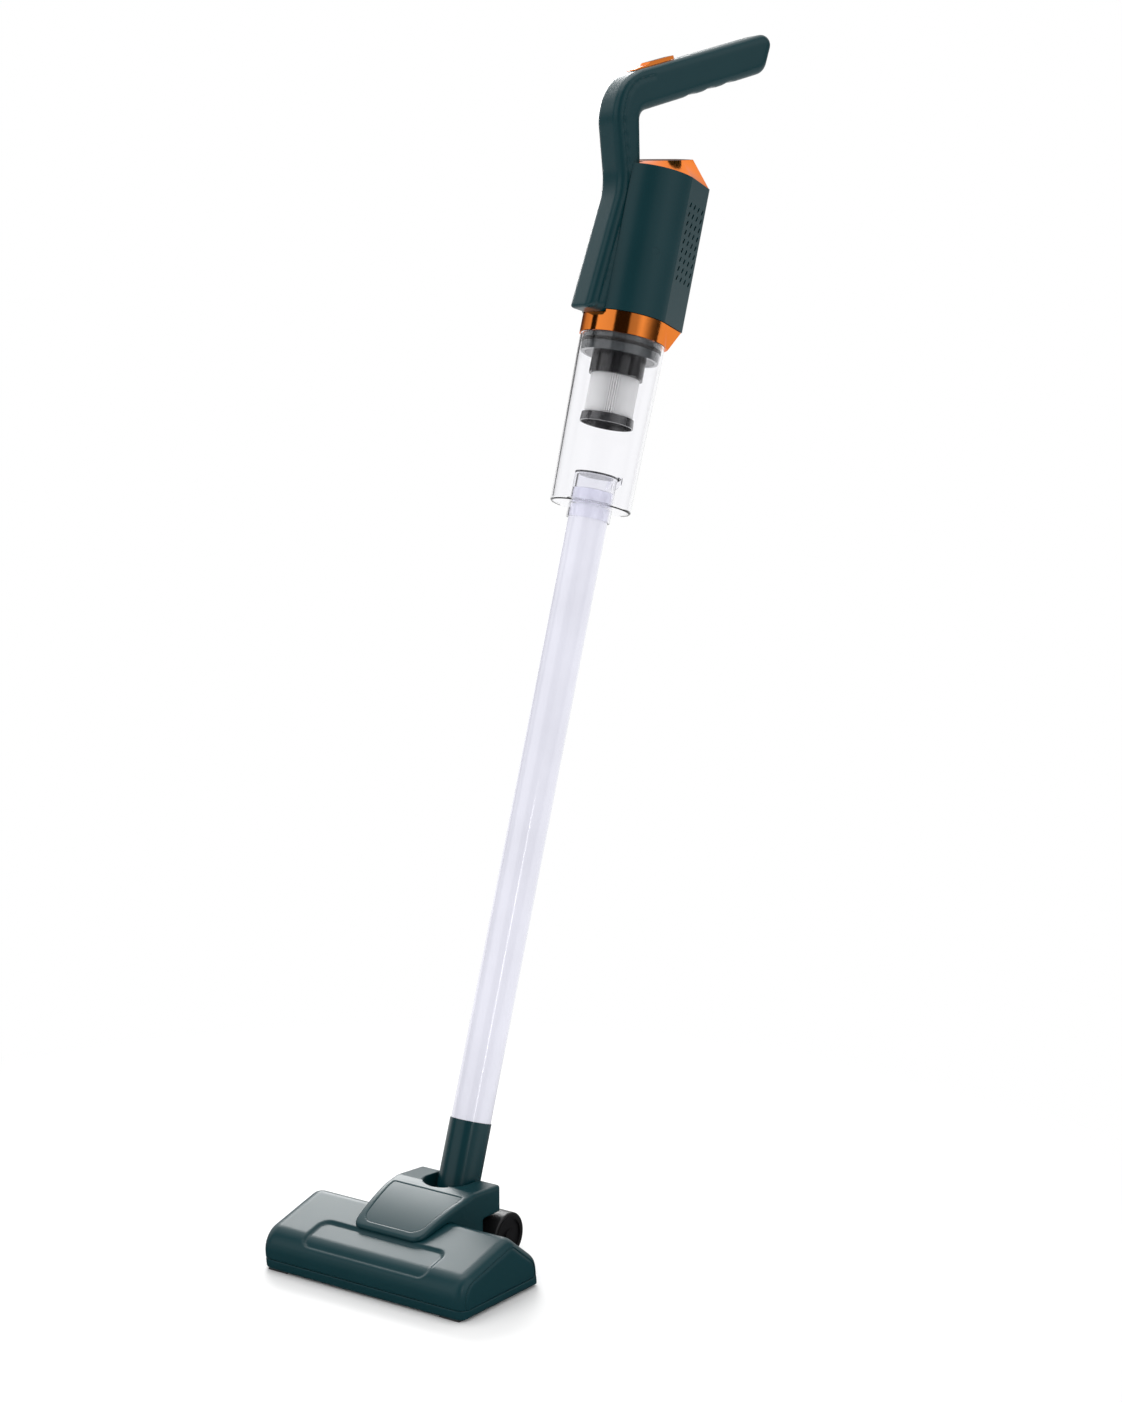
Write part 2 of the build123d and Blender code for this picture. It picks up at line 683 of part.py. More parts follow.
with BuildPart() as filter_cap:
    with BuildSketch(stick_side):
        with BuildLine():
            Polyline(
                (MEDIA_R - 4.4, MEDIA_TOP),
                (FILTER_R, MEDIA_TOP),
                (FILTER_R, FILTER_TOP + 0.6),
                (30.5, FILTER_TOP + 0.6),
                (30.5, FILTER_FLANGE_TOP),
                (20, FILTER_FLANGE_TOP),
                (20, MEDIA_TOP + 2.5),
                (MEDIA_R - 4.4, MEDIA_TOP + 2.5),
                close=True,
            )
        make_face()
    revolve(axis=stick_axis)
    for side, sign in SIDES:
        with BuildSketch(hand.offset(MEDIA_TOP)):
            with Locations((sign * (FILTER_R + 2), 0)):
                Rectangle(5, 7)
        extrude(amount=FILTER_TOP - MEDIA_TOP + 1)
filter_cap.part.label = "filter_cap"
export_step(filter_cap.part, "parts/filter_cap.step")

with BuildPart() as filter_media:
    with BuildSketch(stick.offset(MEDIA_LOW)):
        Circle(MEDIA_R)
        Circle(CAGE_R + RUNNING, mode=Mode.SUBTRACT)
    extrude(amount=MEDIA_TOP - MEDIA_LOW)
filter_media.part.label = "filter_media"
export_step(filter_media.part, "parts/filter_media.step")

with BuildPart() as filter_cage:
    with BuildSketch(stick.offset(MEDIA_LOW)):
        Circle(CAGE_R)
        Circle(CAGE_R - 1.6, mode=Mode.SUBTRACT)
    extrude(amount=MEDIA_TOP - MEDIA_LOW)
    with BuildSketch(hand.offset(MEDIA_LOW + 4)):
        with PolarLocations(CAGE_R, 8):
            Rectangle(6, 6)
    extrude(amount=MEDIA_TOP - MEDIA_LOW - 8, mode=Mode.SUBTRACT)
filter_cage.part.label = "filter_cage"
export_step(filter_cage.part, "parts/filter_cage.step")

with BuildPart() as filter_ring:
    with BuildSketch(stick_side):
        with BuildLine():
            Polyline(
                (0, MEDIA_LOW - 1.6),
                (FILTER_R - 2.2, MEDIA_LOW - 1.6),
                (FILTER_R - 1.4, RING_LOW),
                (FILTER_R, RING_LOW),
                (FILTER_R - 0.6, MEDIA_LOW),
                (0, MEDIA_LOW),
                close=True,
            )
        make_face()
    revolve(axis=stick_axis)
filter_ring.part.label = "filter_ring"
export_step(filter_ring.part, "parts/filter_ring.step")

# Collar that the cup plugs onto

catch_low = FILTER_FLANGE_TOP + 0.5

with BuildPart() as cup_collar:
    with BuildSketch(stick_side):
        with BuildLine():
            Polyline(
                (COLLAR_BORE_R, COLLAR_LOW),
                (COLLAR_R, COLLAR_LOW),
                (COLLAR_R, SEAL_LOW),
                (COLLAR_R - 1, SEAL_LOW),
                (COLLAR_R - 1, SEAL_LOW + SEAL_HEIGHT),
                (COLLAR_R, SEAL_LOW + SEAL_HEIGHT),
                (COLLAR_R, COLLAR_TOP),
                (COLLAR_BORE_R, COLLAR_TOP),
                (COLLAR_BORE_R, catch_low + CATCH_HEIGHT),
                (CATCH_R, catch_low + CATCH_HEIGHT),
                (CATCH_R, catch_low),
                (COLLAR_BORE_R, catch_low),
                close=True,
            )
        make_face()
    revolve(axis=stick_axis)
cup_collar.part.label = "cup_collar"
export_step(cup_collar.part, "parts/cup_collar.step")

with BuildPart() as cup_seal:
    with BuildSketch(stick_side):
        make_face(half_ring(SEAL_LOW, SEAL_LOW + SEAL_HEIGHT, COLLAR_R - 1, SEAL_R))
    revolve(axis=stick_axis)
cup_seal.part.label = "cup_seal"
export_step(cup_seal.part, "parts/cup_seal.step")

# Trim rings above and below the motor housing

with BuildPart() as lower_trim:
    with BuildSketch(stick.offset(TRIM_LOW)):
        Circle(TRIM_R)
    extrude(amount=TRIM_TOP - TRIM_LOW)
    with BuildSketch(hand.offset(TRIM_LOW)):
        make_face(body_line(*TRIM_REAR))
        offset(amount=-TRIM_STEP, kind=Kind.INTERSECTION)
    with BuildSketch(hand.offset(TRIM_TOP)):
        make_face(body_line(*FACET_END, BODY_BACK))
        offset(amount=-TRIM_STEP, kind=Kind.INTERSECTION)
    loft(ruled=True)
    with BuildSketch(stick.offset(TRIM_LOW)):
        Circle(COLLAR_R + 0.01)
    extrude(amount=TRIM_TOP - TRIM_LOW, mode=Mode.SUBTRACT)
    with BuildSketch(hand.offset(LEG_LOW - 0.1)):
        with Locations((0, LEG_BACK - 20)):
            Rectangle(2 * LEG_HALF + 0.4, 40)
    extrude(amount=10, mode=Mode.SUBTRACT)
lower_trim.part.label = "lower_trim"
export_step(lower_trim.part, "parts/lower_trim.step")

cap_plane = hand.offset(CAP_MID).rotated((CAP_TILT, 0, 0))

with BuildPart() as cap_hollow:
    with BuildSketch(hand.offset(HOUSING_HIGH)):
        make_face(body_line(*FACET_END, BODY_BACK))
        offset(amount=-CAP_STEP - BODY_WALL, kind=Kind.INTERSECTION)
    with BuildSketch(cap_plane.offset(-BODY_WALL)):
        make_face(body_line(*FACET_END, BODY_BACK))
        scale(by=CAP_HOLLOW_SCALE)
    loft(ruled=True)

with BuildPart() as top_cap:
    with BuildSketch(hand.offset(HOUSING_HIGH)):
        make_face(body_line(*FACET_END, BODY_BACK))
        offset(amount=-CAP_STEP, kind=Kind.INTERSECTION)
    with BuildSketch(cap_plane):
        make_face(body_line(*FACET_END, BODY_BACK))
        scale(by=CAP_SCALE)
    loft(ruled=True)
    add(cap_hollow.part, mode=Mode.SUBTRACT)
    with BuildSketch(hand.offset(HOUSING_HIGH - 1)):
        with Locations((0, LEG_BACK - 20 + 0.3)):
            Rectangle(2 * LEG_HALF + 0.4, 40)
    extrude(amount=60, mode=Mode.SUBTRACT)
top_cap.part.label = "top_cap"
export_step(top_cap.part, "parts/top_cap.step")

# Motor housing, with a pocket in front for the handle's leg and vents in both rear facets

facet_length = math.dist(FACET_START, FACET_END)
facet_mid = ((FACET_START[0] + FACET_END[0]) / 2, (FACET_START[1] + FACET_END[1]) / 2)


def facet_plane(sign):
    """Plane on one rear facet of the motor housing, x towards the back and z outwards."""
    along = hand.x_dir * (sign * (FACET_END[0] - FACET_START[0]) / facet_length)
    along += hand.y_dir * ((FACET_END[1] - FACET_START[1]) / facet_length)
    outward = hand.x_dir * (sign * (FACET_END[1] - FACET_START[1]) / facet_length)
    outward += hand.y_dir * ((FACET_START[0] - FACET_END[0]) / facet_length)
    vent_mid = hand.offset((VENT_LOW + VENT_HIGH) / 2)
    middle = vent_mid.from_local_coords((sign * facet_mid[0], facet_mid[1], 0))
    return Plane(origin=middle, x_dir=along, z_dir=outward)


def plug_plane(sign):
    """Plane on the side of the motor housing where the round screw plug sits, z outwards."""
    turn = math.radians(PLUG_ANGLE)
    outward = hand.x_dir * (sign * math.sin(turn)) - hand.y_dir * math.cos(turn)
    spot = (sign * BODY_R * math.sin(turn), -BODY_R * math.cos(turn), PLUG_S)
    return Plane(origin=hand.from_local_coords(spot), x_dir=hand.z_dir, z_dir=outward)


def is_rear_corner(edge):
    """True for an edge along either rear corner of the motor housing."""
    return abs(hand.to_local_coords(edge.center()).Y - FACET_END[1]) < 1


with BuildPart() as motor_housing:
    with BuildSketch(hand.offset(HOUSING_LOW)):
        make_face(body_line(*FACET_END, BODY_BACK))
        with Locations((0, LEG_BACK - 20)):
            Rectangle(2 * LEG_HALF + 0.1, 40, mode=Mode.SUBTRACT)
    extrude(amount=HOUSING_HIGH - HOUSING_LOW)
    fillet(motor_housing.edges().filter_by(hand_axis).filter_by(is_rear_corner), BODY_ROUND)
    with BuildSketch(hand.offset(HOUSING_LOW)):
        make_face(body_line(*FACET_END, BODY_BACK))
        offset(amount=-BODY_WALL, kind=Kind.INTERSECTION)
        with Locations((0, LEG_BACK + BODY_WALL - 20)):
            Rectangle(2 * (LEG_HALF + BODY_WALL), 40, mode=Mode.SUBTRACT)
    extrude(amount=HOUSING_HIGH - HOUSING_LOW, mode=Mode.SUBTRACT)
    for side, sign in SIDES:
        with BuildSketch(facet_plane(sign).offset(1)):
            with GridLocations(VENT_PITCH_N, VENT_PITCH_S, VENT_COLUMNS, VENT_ROWS):
                SlotOverall(VENT_LENGTH, VENT_WIDTH, rotation=sign * VENT_SLANT)
            with Locations((VENT_PITCH_N / 2, VENT_PITCH_S / 2)):
                with GridLocations(VENT_PITCH_N, VENT_PITCH_S, VENT_COLUMNS - 1, VENT_ROWS - 1):
                    SlotOverall(VENT_LENGTH, VENT_WIDTH, rotation=sign * VENT_SLANT)
        extrude(amount=-BODY_WALL - 3, mode=Mode.SUBTRACT)
        with BuildSketch(plug_plane(sign)):
            Circle(PLUG_R + RUNNING)
        extrude(amount=-PLUG_DEPTH, mode=Mode.SUBTRACT)
motor_housing.part.label = "motor_housing"
export_step(motor_housing.part, "parts/motor_housing.step")

with BuildPart() as side_plugs:
    for side, sign in SIDES:
        with BuildSketch(plug_plane(sign).offset(-PLUG_DEPTH)):
            Circle(PLUG_R)
        extrude(amount=PLUG_DEPTH - 0.2)
side_plugs.part.label = "side_plugs"
export_step(side_plugs.part, "parts/side_plugs.step")

with BuildPart() as exhaust_foam:
    for side, sign in SIDES:
        with BuildSketch(facet_plane(sign).offset(-BODY_WALL - 0.1)):
            Rectangle(facet_length - 8, VENT_HIGH - VENT_LOW + 10)
        extrude(amount=-FOAM)
exhaust_foam.part.label = "exhaust_foam"
export_step(exhaust_foam.part, "parts/exhaust_foam.step")

# Motor and fan

motor = hand.offset(0)
motor.origin = hand.from_local_coords((0, MOTOR_N, 0))

with BuildPart() as fan_shroud:
    with BuildSketch(motor.offset(FAN_LOW)):
        Circle(FAN_R + 3.5)
        Circle(FAN_EYE_R, mode=Mode.SUBTRACT)
    extrude(amount=2)
    with BuildSketch(motor.offset(FAN_LOW + 2)):
        Circle(FAN_R + 3.5)
        Circle(FAN_R + 1.5, mode=Mode.SUBTRACT)
    extrude(amount=FRAME_LOW - FAN_LOW - 2)
fan_shroud.part.label = "fan_shroud"
export_step(fan_shroud.part, "parts/fan_shroud.step")

with BuildPart() as impeller:
    with BuildSketch(motor.offset(FAN_LOW + 15)):
        Circle(FAN_R)
    extrude(amount=2)
    with BuildSketch(motor.offset(FAN_LOW + 5)):
        Circle(6)
        with PolarLocations(FAN_R / 2 + 3, FAN_BLADES):
            Rectangle(FAN_R - 7, 1.2, rotation=FAN_SWEEP)
    extrude(amount=11)
    with BuildSketch(motor.offset(FAN_LOW)):
        Circle(SHAFT_R)
    extrude(amount=40, mode=Mode.SUBTRACT)
impeller.part.label = "impeller"
export_step(impeller.part, "parts/impeller.step")

with BuildPart() as motor_shaft:
    with BuildSketch(motor.offset(FAN_LOW + 4)):
        Circle(SHAFT_R - 0.01)
    extrude(amount=MOTOR_HIGH + 4 - FAN_LOW - 4)
motor_shaft.part.label = "motor_shaft"
export_step(motor_shaft.part, "parts/motor_shaft.step")

with BuildPart() as rotor_core:
    with BuildSketch(motor.offset(MOTOR_LOW + 12)):
        Circle(12)
        with PolarLocations(11.5, 6):
            Rectangle(4, 2.4, mode=Mode.SUBTRACT)
        Circle(SHAFT_R, mode=Mode.SUBTRACT)
    extrude(amount=MOTOR_HIGH - MOTOR_LOW - 24)
rotor_core.part.label = "rotor_core"
export_step(rotor_core.part, "parts/rotor_core.step")

with BuildPart() as motor_can:
    with BuildSketch(motor.offset(MOTOR_LOW)):
        Circle(MOTOR_R)
    extrude(amount=MOTOR_HIGH - MOTOR_LOW)
    with BuildSketch(motor.offset(MOTOR_LOW + 3)):
        Circle(MOTOR_R - 4)
    extrude(amount=MOTOR_HIGH - MOTOR_LOW - 6, mode=Mode.SUBTRACT)
    with BuildSketch(motor.offset(MOTOR_LOW)):
        Circle(BEARING_R)
    extrude(amount=MOTOR_HIGH - MOTOR_LOW, mode=Mode.SUBTRACT)
motor_can.part.label = "motor_can"
export_step(motor_can.part, "parts/motor_can.step")

with BuildPart() as motor_bearings:
    for low in (MOTOR_LOW, MOTOR_HIGH - 3):
        with BuildSketch(motor.offset(low)):
            Circle(BEARING_R - 0.01)
            Circle(SHAFT_R + 0.04, mode=Mode.SUBTRACT)
        extrude(amount=3)
motor_bearings.part.label = "motor_bearings"
export_step(motor_bearings.part, "parts/motor_bearings.step")

with BuildPart() as motor_frame:
    with BuildSketch(hand.offset(FRAME_LOW)):
        make_face(body_line(*FACET_END, BODY_BACK))
        offset(amount=-BODY_WALL - RUNNING, kind=Kind.INTERSECTION)
        with Locations((0, LEG_BACK + BODY_WALL - 20)):
            Rectangle(2 * (LEG_HALF + BODY_WALL) + 0.1, 40.1, mode=Mode.SUBTRACT)
        with Locations((0, MOTOR_N)):
            Circle(SHAFT_R + 4, mode=Mode.SUBTRACT)
            with PolarLocations(FAN_R - 4, 10):
                Circle(3.4, mode=Mode.SUBTRACT)
    extrude(amount=3)
motor_frame.part.label = "motor_frame"
export_step(motor_frame.part, "parts/motor_frame.step")

for name, low in (("motor_mount_front", FRAME_LOW + 3), ("motor_mount_rear", MOTOR_HIGH - 8)):
    with BuildPart() as motor_mount:
        with BuildSketch(motor.offset(low)):
            Circle(MOTOR_R + 4)
            Circle(MOTOR_R + 0.01, mode=Mode.SUBTRACT)
        extrude(amount=7)
    motor_mount.part.label = name
    export_step(motor_mount.part, f"parts/{name}.step")

# Handle shells, split down the middle

grip_turn = math.atan(GRIP_RISE)
grip_along = hand_side.x_dir * math.cos(grip_turn) + hand_side.y_dir * math.sin(grip_turn)
grip_up = hand_side.y_dir * math.cos(grip_turn) - hand_side.x_dir * math.sin(grip_turn)


def grip_plane(n, s):
    """Plane standing on the grip at a point of its side view, x along the grip and z away from it."""
    return Plane(origin=hand_side.from_local_coords((n, s, 0)), x_dir=grip_along, z_dir=grip_up)


stem_plane = grip_plane(STEM_MID, GRIP_TOP + GRIP_RISE * STEM_MID)
switch_spot = hand_side.from_local_coords((SWITCH_MID, GRIP_TOP + GRIP_RISE * SWITCH_MID, 0))
switch_side = Plane(origin=switch_spot, x_dir=grip_along, z_dir=hand.x_dir)
socket_plane = Plane(
    origin=hand_side.from_local_coords((*SOCKET_SPOT, 0)),
    x_dir=hand.x_dir,
    z_dir=hand_side.x_dir * math.cos(SOCKET_TURN) + hand_side.y_dir * math.sin(SOCKET_TURN),
)

with BuildPart() as handle:
    with BuildSketch(hand_side):
        make_face(handle_line.edges())
    extrude(amount=LEG_HALF, both=True)
    fillet(handle.faces().filter_by(Axis(hand.origin, hand.x_dir)).edges(), HANDLE_ROUND)
    for side, sign in SIDES:
        with BuildSketch(hand_side.offset(sign * (LEG_HALF - GROOVE_DEPTH))):
            with BuildLine():
                FilletPolyline(*GROOVE_LINE, radius=GROOVE_RADII)
            trace(line_width=GROOVE_WIDTH)
        extrude(amount=sign * 6, mode=Mode.SUBTRACT)
    with BuildSketch(hand_side):
        with Locations(*FINGER_SPOTS):
            Circle(FINGER_R)
    extrude(amount=LEG_HALF, both=True, mode=Mode.SUBTRACT)
    with BuildSketch(hand_side):
        make_face(handle_line.edges())
        offset(amount=-HANDLE_WALL, kind=Kind.INTERSECTION)
    extrude(amount=LEG_HALF - HANDLE_WALL - 2, both=True, mode=Mode.SUBTRACT)
    with BuildSketch(hand_side):
        with Locations(*HANDLE_SCREWS):
            Circle(3.4)
    extrude(amount=LEG_HALF - HANDLE_WALL, both=True)
    with BuildSketch(hand_side.offset(-LEG_HALF)):
        with Locations(*HANDLE_SCREWS):
            Circle(SCREW_R + RUNNING)
    extrude(amount=HANDLE_SCREW_LENGTH + 1, mode=Mode.SUBTRACT)
    with BuildSketch(hand_side.offset(-LEG_HALF)):
        with Locations(*HANDLE_SCREWS):
            Circle(SCREW_HEAD_R)
    extrude(amount=2.4, mode=Mode.SUBTRACT)
    with BuildSketch(stem_plane.offset(1)):
        with Locations((SWITCH_TRAVEL / 2, 0)):
            Rectangle(STEM_LENGTH + SWITCH_TRAVEL + 0.8, STEM_WIDTH + 0.8)
    extrude(amount=-6, mode=Mode.SUBTRACT)
    with BuildSketch(socket_plane.offset(2)):
        Circle(SOCKET_R + RUNNING)
    extrude(amount=-8, mode=Mode.SUBTRACT)

for side, keep in (("right", Keep.TOP), ("left", Keep.BOTTOM)):
    with BuildPart() as handle_half:
        add(handle.part)
        split(bisect_by=hand_side, keep=keep)
    handle_half.part.label = f"handle_{side}"
    export_step(handle_half.part, f"parts/handle_{side}.step")

with BuildPart() as handle_screws:
    with BuildSketch(hand_side.offset(-LEG_HALF + 0.6)):
        with Locations(*HANDLE_SCREWS):
            Circle(SCREW_HEAD_R - 0.2)
    extrude(amount=1.8)
    with BuildSketch(hand_side.offset(-LEG_HALF + 0.6)):
        with Locations(*HANDLE_SCREWS):
            Circle(SCREW_R)
    extrude(amount=HANDLE_SCREW_LENGTH - 0.6)
handle_screws.part.label = "handle_screws"
export_step(handle_screws.part, "parts/handle_screws.step")

# Power switch

with BuildPart() as switch_button:
    with BuildSketch(switch_side):
        with BuildLine():
            Polyline(
                (-SWITCH_LENGTH / 2, 0.3),
                (SWITCH_LENGTH / 2, 0.3),
                (SWITCH_LENGTH / 2, 3.6),
                (SWITCH_LENGTH / 2 - 26, 3.9),
                (SWITCH_LENGTH / 2 - 29, 2.2),
                (-SWITCH_LENGTH / 2, 1.2),
                close=True,
            )
        make_face()
    extrude(amount=SWITCH_WIDTH / 2, both=True)
    with BuildSketch(stem_plane.offset(0.4)):
        Rectangle(STEM_LENGTH, STEM_WIDTH)
    extrude(amount=-5)
switch_button.part.label = "switch_button"
export_step(switch_button.part, "parts/switch_button.step")

with BuildPart() as switch_body:
    with BuildSketch(stem_plane.offset(-5)):
        Rectangle(12, 10)
    extrude(amount=-4)
switch_body.part.label = "switch_body"
export_step(switch_body.part, "parts/switch_body.step")

# Battery and electronics

with BuildPart() as battery_cells:
    for n in CELL_SPOTS:
        spot = hand_side.from_local_coords((n, GRIP_MID + GRIP_RISE * n, 0))
        with BuildSketch(Plane(origin=spot, x_dir=hand.x_dir, z_dir=grip_along)):
            Circle(CELL_R)
        extrude(amount=CELL_LENGTH / 2, both=True)
battery_cells.part.label = "battery_cells"
export_step(battery_cells.part, "parts/battery_cells.step")

with BuildPart() as battery_sleeve:
    middle = sum(CELL_SPOTS) / 2
    spot = hand_side.from_local_coords((middle, GRIP_MID + GRIP_RISE * middle, 0))
    with BuildSketch(Plane(origin=spot, x_dir=hand.x_dir, z_dir=grip_along)):
        Circle(CELL_R + 1.2)
        Circle(CELL_R + 0.1, mode=Mode.SUBTRACT)
    extrude(amount=CELL_LENGTH - 1, both=True)
battery_sleeve.part.label = "battery_sleeve"
export_step(battery_sleeve.part, "parts/battery_sleeve.step")

with BuildPart() as circuit_board:
    with BuildSketch(hand.offset(BOARD_LOW)):
        with Locations((0, BOARD_N)):
            Rectangle(20, 1.6)
    extrude(amount=BOARD_LENGTH)
circuit_board.part.label = "circuit_board"
export_step(circuit_board.part, "parts/circuit_board.step")

with BuildPart() as charge_socket:
    with BuildSketch(socket_plane.offset(-0.4)):
        Circle(SOCKET_R)
    extrude(amount=-10)
    with BuildSketch(socket_plane):
        Circle(SOCKET_BORE_R)
    extrude(amount=-8.5, mode=Mode.SUBTRACT)
charge_socket.part.label = "charge_socket"
export_step(charge_socket.part, "parts/charge_socket.step")
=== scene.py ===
import bpy
import bmesh
import json
import math
from mathutils import Matrix, Vector
from mathutils.kdtree import KDTree


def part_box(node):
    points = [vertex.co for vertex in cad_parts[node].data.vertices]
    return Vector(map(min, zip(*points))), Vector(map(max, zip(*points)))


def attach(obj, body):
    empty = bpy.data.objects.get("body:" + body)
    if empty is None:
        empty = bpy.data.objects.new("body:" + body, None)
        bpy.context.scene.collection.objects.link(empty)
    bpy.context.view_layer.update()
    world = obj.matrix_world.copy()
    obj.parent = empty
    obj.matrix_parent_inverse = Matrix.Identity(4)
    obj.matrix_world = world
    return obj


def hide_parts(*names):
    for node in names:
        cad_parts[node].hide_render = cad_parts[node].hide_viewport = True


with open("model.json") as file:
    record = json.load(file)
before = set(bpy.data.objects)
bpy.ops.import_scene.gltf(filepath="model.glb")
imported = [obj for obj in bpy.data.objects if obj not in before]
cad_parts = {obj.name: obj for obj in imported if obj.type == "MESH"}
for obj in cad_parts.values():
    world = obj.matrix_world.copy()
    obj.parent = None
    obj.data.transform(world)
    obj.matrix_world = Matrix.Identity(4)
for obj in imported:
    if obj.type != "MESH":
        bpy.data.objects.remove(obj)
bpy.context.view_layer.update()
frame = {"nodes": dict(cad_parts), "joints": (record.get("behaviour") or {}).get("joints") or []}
nodes = frame["nodes"]
joints = {joint["name"]: joint for joint in frame["joints"]}


# Camera: a long lens nearly three metres away, a little above the object and to its right.
# It looks down by eleven degrees.

camera_data = bpy.data.cameras.new("camera")
camera_data.sensor_fit = "VERTICAL"
camera_data.sensor_height = 36.0
camera_data.lens = 82.74
camera = bpy.data.objects.new("camera", camera_data)
camera.location = (1.6185, -2.0166, 1.0066)
camera.rotation_euler = (math.radians(90 - 11.1785), 0, math.radians(35.7606))
bpy.context.collection.objects.link(camera)
bpy.context.scene.camera = camera


# Studio: a white floor in a white room, lit by two large soft boxes and a thin strip by the neck.
# The room is plain white to look at, and glossy surfaces mirror a ring of light and dark boxes.

def surface_of(name):
    """A new material and its main shader."""
    material = bpy.data.materials.new(name)
    material.use_nodes = True
    return material, material.node_tree.nodes["Principled BSDF"]


def mesh_object(name, shape):
    """A new object at the origin with the bmesh's faces."""
    mesh = bpy.data.meshes.new(name)
    shape.to_mesh(mesh)
    shape.free()
    piece = bpy.data.objects.new(name, mesh)
    bpy.context.collection.objects.link(piece)
    return piece


def soft_box(name, place, target, size, power):
    """A rectangular lamp that faces the target."""
    lamp = bpy.data.lights.new(name, "AREA")
    lamp.shape = "RECTANGLE"
    lamp.size, lamp.size_y = size
    lamp.energy = power
    box = bpy.data.objects.new(name, lamp)
    box.location = place
    box.rotation_euler = (Vector(target) - Vector(place)).to_track_quat("-Z", "Y").to_euler()
    box.visible_transmission = False
    bpy.context.collection.objects.link(box)


# The floor is white paper near the object and melts into the white room further away.
# Glossy surfaces see its far part dark, so it doesn't light them from below.

FLOOR_WHITE = 0.97
FLOOR_ROUGHNESS = 0.8
FLOOR_GLOW = 1.0
FLOOR_DARK = 0.06
FADE_FROM = 0.2
FADE_TO = 0.75
FLOOR_HALF = 12
IS_MIRRORED = 0.5
floor_white, floor_shader = surface_of("floor_white")
floor_shader.inputs["Base Color"].default_value = (FLOOR_WHITE, FLOOR_WHITE, FLOOR_WHITE, 1)
floor_shader.inputs["Roughness"].default_value = FLOOR_ROUGHNESS
floor_nodes = floor_white.node_tree.nodes
floor_links = floor_white.node_tree.links
floor_glow = floor_nodes.new("ShaderNodeEmission")
floor_glow.inputs["Strength"].default_value = FLOOR_GLOW
floor_dark = floor_nodes.new("ShaderNodeEmission")
floor_dark.inputs["Strength"].default_value = FLOOR_DARK
floor_place = floor_nodes.new("ShaderNodeTexCoord")
floor_reach = floor_nodes.new("ShaderNodeVectorMath")
floor_reach.operation = "LENGTH"
floor_fade = floor_nodes.new("ShaderNodeMapRange")
floor_fade.interpolation_type = "SMOOTHSTEP"
floor_fade.inputs["From Min"].default_value = FADE_FROM
floor_fade.inputs["From Max"].default_value = FADE_TO
floor_ray = floor_nodes.new("ShaderNodeLightPath")
floor_blend = floor_nodes.new("ShaderNodeMixShader")
floor_mirror = floor_nodes.new("ShaderNodeMixShader")
floor_links.new(floor_place.outputs["Object"], floor_reach.inputs[0])
floor_links.new(floor_reach.outputs["Value"], floor_fade.inputs["Value"])
floor_links.new(floor_fade.outputs["Result"], floor_blend.inputs["Fac"])
floor_links.new(floor_shader.outputs["BSDF"], floor_blend.inputs[1])
floor_links.new(floor_glow.outputs["Emission"], floor_blend.inputs[2])
floor_gloss = floor_nodes.new("ShaderNodeMath")
floor_gloss.operation = "GREATER_THAN"
floor_gloss.inputs[1].default_value = IS_MIRRORED
floor_links.new(floor_ray.outputs["Glossy Depth"], floor_gloss.inputs[0])
floor_near = floor_nodes.new("ShaderNodeMath")
floor_near.operation = "SUBTRACT"
floor_near.use_clamp = True
floor_links.new(floor_gloss.outputs["Value"], floor_near.inputs[0])
floor_links.new(floor_fade.outputs["Result"], floor_near.inputs[1])
floor_links.new(floor_near.outputs["Value"], floor_mirror.inputs["Fac"])
floor_links.new(floor_blend.outputs["Shader"], floor_mirror.inputs[1])
floor_links.new(floor_dark.outputs["Emission"], floor_mirror.inputs[2])
floor_links.new(floor_mirror.outputs["Shader"], floor_nodes["Material Output"].inputs["Surface"])
floor_shape = bmesh.new()
bmesh.ops.create_grid(floor_shape, x_segments=1, y_segments=1, size=FLOOR_HALF)
floor = mesh_object("floor", floor_shape)
floor.data.materials.append(floor_white)

# What the gloss sees is a ring of soft boxes and black flags, by angle from the front.
# The room itself is plain white.

STUDIO_RING = (
    (-180, 1.2), (-135, 1.2), (-125, 0.9), (-110, 0.9), (-107, 0.02), (-91, 0.02), (-88, 1.1),
    (-36, 0.9), (-31, 0.02), (8, 0.02), (12, 0.5), (30, 0.6), (45, 1.2), (80, 1.1), (95, 0.3),
    (120, 0.4), (135, 1.2), (180, 1.2),
)
RING_PEAK = 1.2
ROOM_TURN = 51.2
ROOM_FILL = 0.8
ROOM_SEEN = 1.0
HORIZON_LOW = 0.02
HORIZON_HIGH = 0.3
LIGHT_BELOW = 0.1
room = bpy.data.worlds.new("room")
room.use_nodes = True
room_nodes = room.node_tree.nodes
room_links = room.node_tree.links
room_light = room_nodes["Background"]
room_light.inputs["Color"].default_value = (1, 1, 1, 1)
direction = room_nodes.new("ShaderNodeTexCoord")
turned = room_nodes.new("ShaderNodeVectorRotate")
turned.rotation_type = "Z_AXIS"
turned.inputs["Angle"].default_value = math.radians(ROOM_TURN)
around = room_nodes.new("ShaderNodeTexGradient")
around.gradient_type = "RADIAL"
ring = room_nodes.new("ShaderNodeValToRGB")
while len(ring.color_ramp.elements) < len(STUDIO_RING):
    ring.color_ramp.elements.new(0.5)
for stop, (angle, light) in zip(ring.color_ramp.elements, STUDIO_RING):
    stop.position = (angle + 180) / 360
    stop.color = (light / RING_PEAK, light / RING_PEAK, light / RING_PEAK, 1)
gain = room_nodes.new("ShaderNodeMath")
gain.operation = "MULTIPLY"
gain.inputs[1].default_value = RING_PEAK
ray = room_nodes.new("ShaderNodeLightPath")
